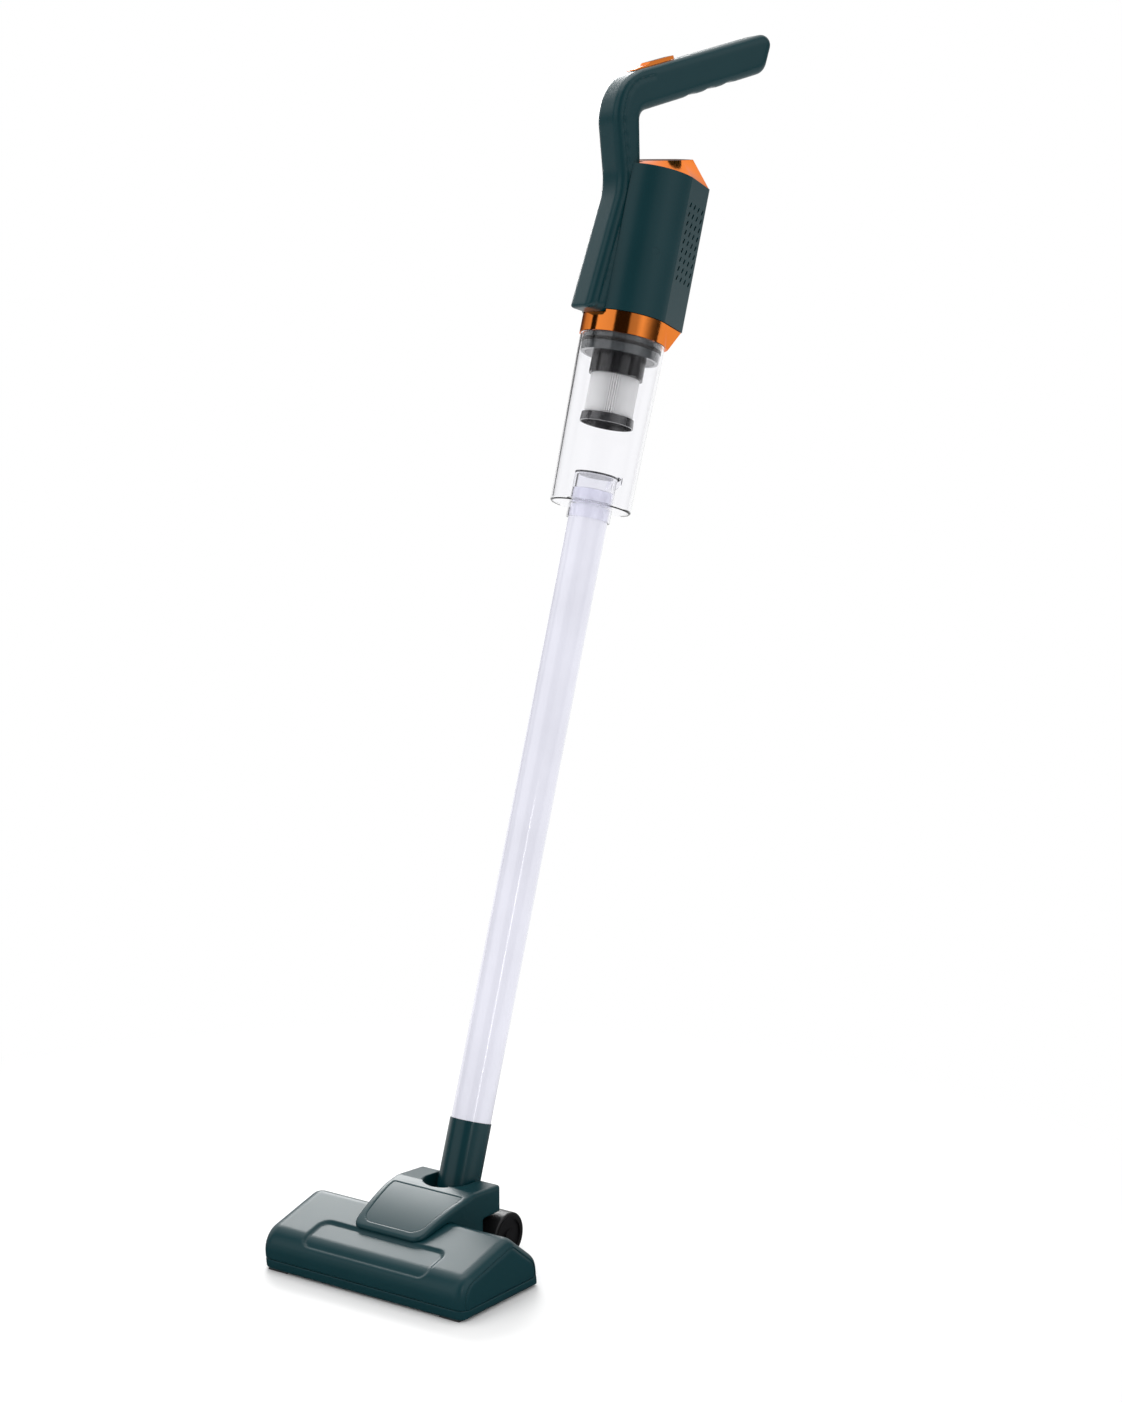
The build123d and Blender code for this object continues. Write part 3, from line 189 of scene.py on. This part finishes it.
plain_sight = room_nodes.new("ShaderNodeMath")
plain_sight.operation = "MAXIMUM"
brightness = room_nodes.new("ShaderNodeMix")
brightness.inputs["A"].default_value = ROOM_FILL
brightness.inputs["B"].default_value = ROOM_SEEN
in_gloss = room_nodes.new("ShaderNodeMath")
in_gloss.operation = "GREATER_THAN"
in_gloss.inputs[1].default_value = IS_MIRRORED
seen_light = room_nodes.new("ShaderNodeMix")
height = room_nodes.new("ShaderNodeSeparateXYZ")
lift = room_nodes.new("ShaderNodeMapRange")
lift.interpolation_type = "SMOOTHSTEP"
lift.inputs["From Min"].default_value = HORIZON_LOW
lift.inputs["From Max"].default_value = HORIZON_HIGH
lift.inputs["To Min"].default_value = LIGHT_BELOW
raised = room_nodes.new("ShaderNodeMath")
raised.operation = "MULTIPLY"
room_links.new(direction.outputs["Generated"], height.inputs["Vector"])
room_links.new(height.outputs["Z"], lift.inputs["Value"])
room_links.new(gain.outputs["Value"], raised.inputs[0])
room_links.new(lift.outputs["Result"], raised.inputs[1])
room_links.new(direction.outputs["Generated"], turned.inputs["Vector"])
room_links.new(turned.outputs["Vector"], around.inputs["Vector"])
room_links.new(around.outputs["Fac"], ring.inputs["Fac"])
room_links.new(ring.outputs["Color"], gain.inputs[0])
room_links.new(ray.outputs["Is Camera Ray"], plain_sight.inputs[0])
room_links.new(ray.outputs["Is Transmission Ray"], plain_sight.inputs[1])
room_links.new(plain_sight.outputs["Value"], brightness.inputs["Factor"])
room_links.new(ray.outputs["Glossy Depth"], in_gloss.inputs[0])
room_links.new(in_gloss.outputs["Value"], seen_light.inputs["Factor"])
room_links.new(brightness.outputs["Result"], seen_light.inputs["A"])
room_links.new(raised.outputs["Value"], seen_light.inputs["B"])
room_links.new(seen_light.outputs["Result"], room_light.inputs["Strength"])
bpy.context.scene.world = room
bpy.context.scene.view_settings.view_transform = "Standard"

soft_box("top_box", (-0.5, 0.3, 2.4), (0, 0.15, 0.3), (1.4, 1.2), 12)
soft_box("sheen_box", (-1.3, 1.3, 1.25), (0, 0, 0.05), (0.9, 0.7), 22)
soft_box("neck_strip", (0.62, -0.42, 0.42), (0, 0.1, 0.12), (0.03, 0.4), 0.5)


# Floor head shell: one dark petrol green moulding with a spark-eroded satin skin.
# Its top has a soft shallow scoop across the front, and its edges are all eased.

PETROL = (0.0030, 0.034, 0.042)
SOLE = 0.0015
BAR_MIDDLE = -0.002
END_START = 0.096
END_TIP = 0.1078
END_DRAW = 0.15
SCOOP_DEPTH = 0.0019
SCOOP_EASE = 0.0045
SCOOP_HALF = 0.068
SCOOP_CORNER = 0.011
SCOOP_FROM = 0.026
SCOOP_TO = 0.066
SCOOP_MARGIN = 0.012
SCOOP_BACK = 0.004
SCOOP_FOOT = 0.013
SKIN_DEPTH = 0.0018
WELD_GAP = 0.00002
ARC_PARTS = 12
TONE_LOW = 0.88
TONE_HIGH = 1.12
BAR_CORNERS = (
    (-0.0555, 0.0015, 0), (-0.059, 0.033, 0.020), (0.015, 0.0525, 0.009),
    (0.050, 0.025, 0.018), (0.0535, 0.0015, 0),
)


def moulded(name, color, roughness, grain=0.06, coat=0.0, metallic=0.0, shine=0.5):
    """Plastic with a fine grain, a slow drift of tone and a little wear in its gloss."""
    material, shader = surface_of(name)
    tree = material.node_tree
    place = tree.nodes.new("ShaderNodeTexCoord")
    drift = tree.nodes.new("ShaderNodeTexNoise")
    drift.inputs["Scale"].default_value = 14.0
    drift.inputs["Detail"].default_value = 3.0
    tone = tree.nodes.new("ShaderNodeMix")
    tone.data_type = "RGBA"
    tone.inputs["A"].default_value = (*[c * TONE_LOW for c in color], 1)
    tone.inputs["B"].default_value = (*[c * TONE_HIGH for c in color], 1)
    gloss = tree.nodes.new("ShaderNodeMapRange")
    gloss.inputs["To Min"].default_value = max(roughness - 0.04, 0.02)
    gloss.inputs["To Max"].default_value = roughness + 0.05
    spark = tree.nodes.new("ShaderNodeTexNoise")
    spark.inputs["Scale"].default_value = 2600.0
    spark.inputs["Detail"].default_value = 2.0
    bump = tree.nodes.new("ShaderNodeBump")
    bump.inputs["Strength"].default_value = grain
    bump.inputs["Distance"].default_value = 0.0002
    tree.links.new(place.outputs["Object"], drift.inputs["Vector"])
    tree.links.new(place.outputs["Object"], spark.inputs["Vector"])
    tree.links.new(drift.outputs["Fac"], tone.inputs["Factor"])
    tree.links.new(drift.outputs["Fac"], gloss.inputs["Value"])
    tree.links.new(tone.outputs["Result"], shader.inputs["Base Color"])
    tree.links.new(gloss.outputs["Result"], shader.inputs["Roughness"])
    tree.links.new(spark.outputs["Fac"], bump.inputs["Height"])
    tree.links.new(bump.outputs["Normal"], shader.inputs["Normal"])
    shader.inputs["Coat Weight"].default_value = coat
    shader.inputs["Coat Roughness"].default_value = 0.1
    shader.inputs["Metallic"].default_value = metallic
    if metallic:
        shader.inputs["Specular Tint"].default_value = (*[0.5 + c / 2 for c in color], 1)
    shader.inputs["Specular IOR Level"].default_value = shine
    return material


def dress(material, *names):
    """Gives CAD nodes a material."""
    for name in names:
        nodes[name].data.materials.clear()
        nodes[name].data.materials.append(material)


def eased(name, sources, voxel, passes, material, beads=()):
    """A copy of CAD nodes, filled with beads, with all its edges eased as a moulding's are."""
    shape = bmesh.new()
    for source in sources:
        shape.from_mesh(nodes[source].data)
    bmesh.ops.remove_doubles(shape, verts=shape.verts, dist=WELD_GAP)
    for place, radius in beads:
        bmesh.ops.create_icosphere(shape, subdivisions=2, radius=radius, matrix=Matrix.Translation(place))
    rough = mesh_object(name + "_rough", shape)
    remesh = rough.modifiers.new("remesh", "REMESH")
    remesh.mode = "VOXEL"
    remesh.voxel_size = voxel
    smooth = rough.modifiers.new("smooth", "SMOOTH")
    smooth.factor = 0.5
    smooth.iterations = passes
    seen = rough.evaluated_get(bpy.context.evaluated_depsgraph_get())
    piece = bpy.data.objects.new(name, bpy.data.meshes.new_from_object(seen))
    bpy.data.objects.remove(rough)
    bpy.context.collection.objects.link(piece)
    piece.data.polygons.foreach_set("use_smooth", [True] * len(piece.data.polygons))
    piece.data.materials.clear()
    piece.data.materials.append(material)
    return piece


def rounded_profile(corners, step):
    """Points along a polyline with rounded corners, as (length along it, point, outward normal)."""
    path = [Vector(corners[0][:2])]
    for before, (y, z, radius), after in zip(corners, corners[1:], corners[2:]):
        corner = Vector((y, z))
        back = (Vector(before[:2]) - corner).normalized()
        on = (Vector(after[:2]) - corner).normalized()
        half = back.angle(on) / 2
        middle = corner + (back + on).normalized() * (radius / math.sin(half))
        first = corner + back * (radius / math.tan(half)) - middle
        turn = math.copysign(math.pi - 2 * half, -back.cross(on))
        for part in range(ARC_PARTS + 1):
            path.append(middle + Matrix.Rotation(turn * part / ARC_PARTS, 2) @ first)
    path.append(Vector(corners[-1][:2]))
    points = []
    along = 0.0
    for start, end in zip(path, path[1:]):
        run = end - start
        normal = Vector((-run.y, run.x)).normalized()
        for part in range(max(1, round(run.length / step))):
            share = part * step / max(run.length, step)
            points.append((along + run.length * share, start + run * share, normal))
        along += run.length
    return points


def round_ends(piece):
    """Draws the bar's section in towards its two ends, as a quarter round."""
    for vertex in piece.data.vertices:
        x, y, z = vertex.co
        past = min(max((abs(x) - END_START) / (END_TIP - END_START), 0), 1)
        keep = 1 - END_DRAW * (1 - math.sqrt(1 - past * past))
        vertex.co = (x, BAR_MIDDLE + (y - BAR_MIDDLE) * keep, SOLE + (z - SOLE) * keep)


teal = moulded("teal_plastic", PETROL, 0.31, shine=0.28)
head_cover = eased("head_cover", ["head_shell"], 0.0011, 6, teal)
profile = rounded_profile(BAR_CORNERS, 0.0005)
finder = KDTree(len(profile))
for index, (_, point, _) in enumerate(profile):
    finder.insert((0, point.x, point.y), index)
finder.balance()
for vertex in head_cover.data.vertices:
    x, y, z = vertex.co
    if abs(x) > SCOOP_HALF + SCOOP_MARGIN or y > SCOOP_BACK:
        continue
    along, point, normal = profile[finder.find((0, y, z))[1]]
    depth = (point - Vector((y, z))).dot(normal)
    if depth > SKIN_DEPTH or z < SCOOP_FOOT:
        continue
    side = abs(x) - (SCOOP_HALF - SCOOP_CORNER)
    rise = abs(along - (SCOOP_FROM + SCOOP_TO) / 2) - ((SCOOP_TO - SCOOP_FROM) / 2 - SCOOP_CORNER)
    edge = math.hypot(max(side, 0), max(rise, 0)) + min(max(side, rise), 0) - SCOOP_CORNER
    share = min(max(-edge / SCOOP_EASE, 0), 1)
    sunk = SCOOP_DEPTH * share * share * (3 - 2 * share)
    slide = (Vector((y, z)) - point).dot(Vector((normal.y, -normal.x)))
    place = point + Vector((normal.y, -normal.x)) * slide - normal * sunk
    vertex.co = (x, place.x, place.y)
head_pieces = [(head_cover, "head_shell")]
for name, node, voxel in (
    ("right_end_plate", "end_cap_right", 0.0008),
    ("left_end_plate", "end_cap_left", 0.0008),
    ("base_plate", "head_base", 0.0013),
):
    head_pieces.append((eased(name, [node], voxel, 3, teal), node))
for piece, node in head_pieces:
    round_ends(piece)
    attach(piece, "head")
    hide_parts(node)


# Screws of the head and the handle: zinc plated pan heads with a cross recess.
# Four hold the base from below, and four close the handle from its left side.

def new_tree(name, sizes):
    """An empty Geometry Nodes tree with a named float input for each size."""
    tree = bpy.data.node_groups.new(name, "GeometryNodeTree")
    tree.interface.new_socket("Geometry", in_out="INPUT", socket_type="NodeSocketGeometry")
    tree.interface.new_socket("Geometry", in_out="OUTPUT", socket_type="NodeSocketGeometry")
    for size in sizes:
        tree.interface.new_socket(size, in_out="INPUT", socket_type="NodeSocketFloat")
    return tree, tree.nodes.new("NodeGroupInput"), tree.nodes.new("NodeGroupOutput")


def finish_tree(tree, result, output, material):
    """Ends a tree in Realize Instances and Set Material."""
    real = tree.nodes.new("GeometryNodeRealizeInstances")
    paint = tree.nodes.new("GeometryNodeSetMaterial")
    paint.inputs["Material"].default_value = material
    tree.links.new(result, real.inputs["Geometry"])
    tree.links.new(real.outputs["Geometry"], paint.inputs["Geometry"])
    tree.links.new(paint.outputs["Geometry"], output.inputs["Geometry"])


def grown(name, tree, sizes, places, pose):
    """A plain mesh grown by a tree from a set of places, then set in its pose."""
    seeds = bmesh.new()
    for place in places:
        seeds.verts.new(place)
    seed = mesh_object(name + "_seed", seeds)
    growth = seed.modifiers.new("growth", "NODES")
    growth.node_group = tree
    for socket in tree.interface.items_tree:
        if socket.in_out == "INPUT" and socket.name in sizes:
            growth[socket.identifier] = sizes[socket.name]
    seen = seed.evaluated_get(bpy.context.evaluated_depsgraph_get())
    piece = bpy.data.objects.new(name, bpy.data.meshes.new_from_object(seen))
    bpy.data.objects.remove(seed)
    piece.data.transform(pose)
    bpy.context.collection.objects.link(piece)
    return piece


SCREW_HEAD = 0.0017
SCREW_CROWN = 0.78
RECESS_LONG = 0.0030
RECESS_WIDE = 0.0007
RECESS_TALL = 0.0018
RECESS_LIFT = 0.0019
BASE_SCREW_X = 0.096
BASE_SCREW_YS = (0.030, -0.022)

zinc = moulded("zinc_plated", (0.52, 0.52, 0.50), 0.26, grain=0.12, metallic=1.0)
screw_tree, screw_in, screw_out = new_tree(
    "cross_screw", ("Head Radius", "Head Height", "Shank Radius", "Shank Length"),
)
screw_head = screw_tree.nodes.new("GeometryNodeMeshCone")
screw_head.inputs["Vertices"].default_value = 28
screw_tree.links.new(screw_in.outputs["Head Radius"], screw_head.inputs["Radius Bottom"])
screw_tree.links.new(screw_in.outputs["Head Height"], screw_head.inputs["Depth"])
crown = screw_tree.nodes.new("ShaderNodeMath")
crown.operation = "MULTIPLY"
crown.inputs[1].default_value = SCREW_CROWN
screw_tree.links.new(screw_in.outputs["Head Radius"], crown.inputs[0])
screw_tree.links.new(crown.outputs["Value"], screw_head.inputs["Radius Top"])
recess = screw_tree.nodes.new("GeometryNodeMeshBoolean")
recess.operation = "DIFFERENCE"
screw_tree.links.new(screw_head.outputs["Mesh"], recess.inputs["Mesh 1"])
for long_x, long_y in ((RECESS_LONG, RECESS_WIDE), (RECESS_WIDE, RECESS_LONG)):
    blade = screw_tree.nodes.new("GeometryNodeMeshCube")
    blade.inputs["Size"].default_value = (long_x, long_y, RECESS_TALL)
    raise_blade = screw_tree.nodes.new("GeometryNodeTransform")
    raise_blade.inputs["Translation"].default_value = (0, 0, RECESS_LIFT)
    screw_tree.links.new(blade.outputs["Mesh"], raise_blade.inputs["Geometry"])
    screw_tree.links.new(raise_blade.outputs["Geometry"], recess.inputs["Mesh 2"])
shank = screw_tree.nodes.new("GeometryNodeMeshCylinder")
shank.inputs["Vertices"].default_value = 16
screw_tree.links.new(screw_in.outputs["Shank Radius"], shank.inputs["Radius"])
screw_tree.links.new(screw_in.outputs["Shank Length"], shank.inputs["Depth"])
shank_drop = screw_tree.nodes.new("ShaderNodeMath")
shank_drop.operation = "MULTIPLY"
shank_drop.inputs[1].default_value = -0.5
shank_place = screw_tree.nodes.new("ShaderNodeCombineXYZ")
shank_move = screw_tree.nodes.new("GeometryNodeTransform")
screw_tree.links.new(screw_in.outputs["Shank Length"], shank_drop.inputs[0])
screw_tree.links.new(shank_drop.outputs["Value"], shank_place.inputs["Z"])
screw_tree.links.new(shank_place.outputs["Vector"], shank_move.inputs["Translation"])
screw_tree.links.new(shank.outputs["Mesh"], shank_move.inputs["Geometry"])
one_screw = screw_tree.nodes.new("GeometryNodeJoinGeometry")
screw_tree.links.new(recess.outputs["Mesh"], one_screw.inputs["Geometry"])
screw_tree.links.new(shank_move.outputs["Geometry"], one_screw.inputs["Geometry"])
all_screws = screw_tree.nodes.new("GeometryNodeInstanceOnPoints")
screw_tree.links.new(screw_in.outputs["Geometry"], all_screws.inputs["Points"])
screw_tree.links.new(one_screw.outputs["Geometry"], all_screws.inputs["Instance"])
finish_tree(screw_tree, all_screws.outputs["Instances"], screw_out, zinc)

SCREW_SIZES = {"Head Radius": 0.0029, "Head Height": SCREW_HEAD, "Shank Radius": 0.0014}
screw_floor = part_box("head_screws")[0][2]
base_screws = grown(
    "base_screws", screw_tree, SCREW_SIZES | {"Shank Length": 0.013},
    [(x, y, 0) for x in (-BASE_SCREW_X, BASE_SCREW_X) for y in BASE_SCREW_YS],
    Matrix.Translation((0, 0, screw_floor + SCREW_HEAD)) @ Matrix.Rotation(math.pi, 4, "X"),
)
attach(base_screws, "head")
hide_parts("head_screws")


# Bristle strips: two rows of stiff dark nylon tufts set in the base.
# Each tuft leans a little its own way.

TUFT_RADIUS = 0.0006
TUFT_HEIGHT = 0.0034
TUFT_LEAN = 0.1
TUFT_TAPER = 0.7
TUFT_SEED = 7
TUFT_FIRST = -0.0812
TUFT_PITCH = 0.0014
TUFT_COUNT = 117
TUFT_LANE = 0.0008
TUFT_FOOT = 0.0005
TUFT_ROWS = (-0.044, -0.0085)
nylon = moulded("dark_nylon", (0.012, 0.012, 0.014), 0.5)
tuft_tree, tuft_in, tuft_out = new_tree("bristle_row", ("Tuft Radius", "Tuft Height", "Lean"))
tuft = tuft_tree.nodes.new("GeometryNodeMeshCone")
tuft.inputs["Vertices"].default_value = 6
tuft_tree.links.new(tuft_in.outputs["Tuft Radius"], tuft.inputs["Radius Top"])
tuft_tree.links.new(tuft_in.outputs["Tuft Height"], tuft.inputs["Depth"])
slim = tuft_tree.nodes.new("ShaderNodeMath")
slim.operation = "MULTIPLY"
slim.inputs[1].default_value = TUFT_TAPER
tuft_tree.links.new(tuft_in.outputs["Tuft Radius"], slim.inputs[0])
tuft_tree.links.new(slim.outputs["Value"], tuft.inputs["Radius Bottom"])
sway = tuft_tree.nodes.new("FunctionNodeRandomValue")
sway.data_type = "FLOAT_VECTOR"
sway.inputs["Seed"].default_value = TUFT_SEED
sway_low = tuft_tree.nodes.new("ShaderNodeMath")
sway_low.operation = "MULTIPLY"
sway_low.inputs[1].default_value = -1
tuft_tree.links.new(tuft_in.outputs["Lean"], sway_low.inputs[0])
tuft_tree.links.new(sway_low.outputs["Value"], sway.inputs["Min"])
tuft_tree.links.new(tuft_in.outputs["Lean"], sway.inputs["Max"])
tufts = tuft_tree.nodes.new("GeometryNodeInstanceOnPoints")
tuft_tree.links.new(tuft_in.outputs["Geometry"], tufts.inputs["Points"])
tuft_tree.links.new(tuft.outputs["Mesh"], tufts.inputs["Instance"])
tuft_tree.links.new(sway.outputs["Value"], tufts.inputs["Rotation"])
finish_tree(tuft_tree, tufts.outputs["Instances"], tuft_out, nylon)
tuft_places = [
    (TUFT_FIRST + TUFT_PITCH * column, row + lane, TUFT_FOOT)
    for row in TUFT_ROWS
    for column in range(TUFT_COUNT)
    for lane in (-TUFT_LANE, TUFT_LANE)
]
bristles = grown(
    "bristles", tuft_tree, {"Tuft Radius": TUFT_RADIUS, "Tuft Height": TUFT_HEIGHT, "Lean": TUFT_LEAN},
    tuft_places, Matrix.Identity(4),
)
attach(bristles, "head")
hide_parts("bristle_strips")


# Sole pads, raised neck housing and its inset panel, and the short air duct under it.
# The pads are felt; the rest is moulded, the panel a shade smoother than the housing.

felt = moulded("grey_felt", (0.05, 0.05, 0.052), 0.95, grain=0.6)
dress(felt, "sole_pads")
housing_cover = eased("housing_cover", ["neck_housing"], 0.0009, 4, teal)
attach(housing_cover, "head")
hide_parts("neck_housing")
dress(moulded("panel_teal", PETROL, 0.4, grain=0.05, shine=0.34), "panel_insert")
black = moulded("black_plastic", (0.006, 0.006, 0.007), 0.3)
dress(black, "head_duct")


# Wheels: a hard black hub with a soft black tyre on a steel axle, one on each side.
# The axles and the neck's two pins share the zinc of the screws.

dress(moulded("tyre_rubber", (0.007, 0.007, 0.008), 0.42, grain=0.3), "tyre_right", "tyre_left")
dress(black, "wheel_right", "wheel_left")
dress(zinc, "wheel_axles", "neck_pins")


# Neck and wand: a petrol green neck that tilts on two pins, and one long enamelled tube.
# The neck is glossier than the head, and the white enamel has a clear coat.

dress(moulded("neck_teal", PETROL, 0.24, grain=0.04, shine=0.34), "neck")
enamel = moulded("white_enamel", (0.83, 0.83, 0.93), 0.16, grain=0.02, coat=0.6)
dress(enamel, "wand_tube")


# Dust cup: clear moulded cup with a clear inlet tube, closed by a smoky flap on a steel pin.
# The two clear pieces bend light only a little and cast no shadow, so their edges stay thin.

CLEAR_IOR = 1.2
HAZE_SCALE = 30.0


def clear(name, tint, roughness):
    """Clear moulded plastic with very faint handling haze in its gloss."""
    material, shader = surface_of(name)
    tree = material.node_tree
    place = tree.nodes.new("ShaderNodeTexCoord")
    haze = tree.nodes.new("ShaderNodeTexNoise")
    haze.inputs["Scale"].default_value = HAZE_SCALE
    gloss = tree.nodes.new("ShaderNodeMapRange")
    gloss.inputs["To Min"].default_value = roughness
    gloss.inputs["To Max"].default_value = roughness + 0.02
    tree.links.new(place.outputs["Object"], haze.inputs["Vector"])
    tree.links.new(haze.outputs["Fac"], gloss.inputs["Value"])
    tree.links.new(gloss.outputs["Result"], shader.inputs["Roughness"])
    shader.inputs["Base Color"].default_value = (*tint, 1)
    shader.inputs["Transmission Weight"].default_value = 1.0
    shader.inputs["IOR"].default_value = CLEAR_IOR
    return material


dress(clear("clear_cup", (0.975, 0.975, 0.99), 0.0), "dust_cup")
nodes["dust_cup"].visible_shadow = False
nodes["inlet_tube"].visible_shadow = False
dress(clear("clear_inlet", (0.93, 0.93, 0.96), 0.08), "inlet_tube")
dress(moulded("smoky_flap", (0.05, 0.05, 0.055), 0.15, grain=0.02, coat=0.5), "inlet_flap")
dress(zinc, "flap_pin")


# Filter: white paper folded into sixty pleats round a dark cage.
# It stands between a dark cap and a dark foot ring, in the frame of the leaning hand unit.

upright = Vector(joints["wand_twist"]["axis"])
hinge = Vector(joints["head_tilt"]["pos_m"])
across = -Vector(joints["flap_hinge"]["axis"])
backward = upright.cross(across)
hand = Matrix.Translation(hinge) @ Matrix((across, backward, upright)).transposed().to_4x4()
MEDIA_LOW = 0.7074
MEDIA_TALL = 0.0355
MEDIA_RADIUS = 0.0217
PLEATS = 60
PAPER_FOLD = 0.18
PAPER_THICK = 0.0003
paper = moulded("filter_paper", (0.86, 0.86, 0.86), 0.8, grain=0.3)
pleat_tree, pleat_in, pleat_out = new_tree("pleated_sleeve", ("Radius", "Height", "Fold"))
sleeve = pleat_tree.nodes.new("GeometryNodeMeshCylinder")
sleeve.fill_type = "NONE"
sleeve.inputs["Vertices"].default_value = 2 * PLEATS
sleeve.inputs["Side Segments"].default_value = 4
pleat_tree.links.new(pleat_in.outputs["Radius"], sleeve.inputs["Radius"])
pleat_tree.links.new(pleat_in.outputs["Height"], sleeve.inputs["Depth"])
number = pleat_tree.nodes.new("GeometryNodeInputIndex")
parity = pleat_tree.nodes.new("ShaderNodeMath")
parity.operation = "MODULO"
parity.inputs[1].default_value = 2
fold = pleat_tree.nodes.new("ShaderNodeMath")
fold.operation = "MULTIPLY"
spot = pleat_tree.nodes.new("GeometryNodeInputPosition")
flat = pleat_tree.nodes.new("ShaderNodeVectorMath")
flat.operation = "MULTIPLY"
flat.inputs[1].default_value = (-1, -1, 0)
tuck = pleat_tree.nodes.new("ShaderNodeVectorMath")
tuck.operation = "SCALE"
pleat = pleat_tree.nodes.new("GeometryNodeSetPosition")
pleat_tree.links.new(number.outputs["Index"], parity.inputs[0])
pleat_tree.links.new(parity.outputs["Value"], fold.inputs[0])
pleat_tree.links.new(pleat_in.outputs["Fold"], fold.inputs[1])
pleat_tree.links.new(spot.outputs["Position"], flat.inputs[0])
pleat_tree.links.new(flat.outputs["Vector"], tuck.inputs[0])
pleat_tree.links.new(fold.outputs["Value"], tuck.inputs["Scale"])
pleat_tree.links.new(sleeve.outputs["Mesh"], pleat.inputs["Geometry"])
pleat_tree.links.new(tuck.outputs["Vector"], pleat.inputs["Offset"])
finish_tree(pleat_tree, pleat.outputs["Geometry"], pleat_out, paper)
pleats = grown(
    "filter_pleats", pleat_tree, {"Radius": MEDIA_RADIUS, "Height": MEDIA_TALL, "Fold": PAPER_FOLD}, [],
    hand @ Matrix.Translation((0, 0, MEDIA_LOW + MEDIA_TALL / 2)),
)
wall = pleats.modifiers.new("paper", "SOLIDIFY")
wall.thickness = PAPER_THICK
wall.offset = -1
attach(pleats, "filter")
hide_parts("filter_media")
dress(moulded("filter_dark", (0.012, 0.012, 0.013), 0.14, grain=0.03), "filter_cap", "filter_cage")
dress(moulded("ring_dark", (0.03, 0.03, 0.032), 0.18, grain=0.02, coat=0.6), "filter_ring")


# Collar and trims: a smoky collar with a rubber seal, then vacuum-plated copper rings and cap.
# The plating is mirror bright, with the faint waviness of plated plastic.

dress(moulded("smoky_collar", (0.055, 0.06, 0.063), 0.16, grain=0.02, coat=0.5), "cup_collar")
dress(
    moulded("seal_rubber", (0.01, 0.01, 0.01), 0.55, grain=0.2),
    "cup_seal", "motor_mount_front", "motor_mount_rear",
)
copper = moulded("copper_plating", (0.80, 0.225, 0.04), 0.09, grain=0.01, metallic=1.0)
dress(copper, "lower_trim", "top_cap", "switch_button")


# Motor housing and handle: petrol green mouldings; the housing is the CAD's own.
# The handle's two shells are shown as one eased body, with a soft valley beside the spine.

dress(teal, "motor_housing", "side_plugs")
VALLEY = (
    (-0.0438, 0.785, 0), (-0.0342, 0.905, 0.060), (-0.0545, 0.961, 0.040),
    (-0.0545, 0.993, 0.026), (-0.030, 1.007, 0),
)
VALLEY_BEAD = 0.0018
HANDLE_FOOT = 0.7955
VALLEY_BED = 0.0134
beads = [
    (hand @ Vector((sign * VALLEY_BED, point.x, point.y)), VALLEY_BEAD)
    for _, point, _ in rounded_profile(VALLEY, 0.0008)
    for sign in (-1, 1)
    if point.y > HANDLE_FOOT
]
handle = eased("handle_body", ["handle_right", "handle_left"], 0.0013, 6, teal, beads)
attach(handle, "hand_unit")
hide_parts("handle_right", "handle_left")

SCREW_FACE = -0.0159
GRIP_SCREWS = ((-0.0335, 0.803), (-0.034, 0.908), (-0.050, 0.968), (-0.038, 0.990))
toward_left = hand @ Matrix.Rotation(-math.pi / 2, 4, "Y")
grip_screws = grown(
    "grip_screws", screw_tree, SCREW_SIZES | {"Head Radius": 0.0027, "Shank Length": 0.025},
    [(along, out, -SCREW_FACE - SCREW_HEAD) for out, along in GRIP_SCREWS],
    toward_left,
)
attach(grip_screws, "hand_unit")
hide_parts("handle_screws")


# Inside the hand unit: fan, motor, foam, switch, battery and board.
# Each keeps its CAD shape and has its own finish, except that the foam's near black also paints the shade
# inside the vents.

# The foam is black, and its colour is darkened further as painted shade so the vent slots behind it read
# dark.
dress(moulded("foam_and_painted_vent_shade", (0.004, 0.004, 0.004), 1.0, grain=1.0), "exhaust_foam")
dress(
    moulded("inner_black", (0.014, 0.014, 0.016), 0.4, grain=0.1),
    "fan_shroud", "motor_frame", "switch_body", "charge_socket", "battery_sleeve",
)
dress(moulded("cast_aluminium", (0.62, 0.63, 0.65), 0.3, grain=0.2, metallic=1.0), "impeller")
dress(moulded("core_steel", (0.22, 0.22, 0.23), 0.4, grain=0.4, metallic=1.0), "rotor_core")
dress(zinc, "motor_shaft", "motor_can", "motor_bearings")
dress(moulded("shrink_wrap", (0.02, 0.09, 0.26), 0.2, grain=0.05), "battery_cells")
dress(moulded("board_green", (0.01, 0.09, 0.03), 0.35, grain=0.1), "circuit_board")
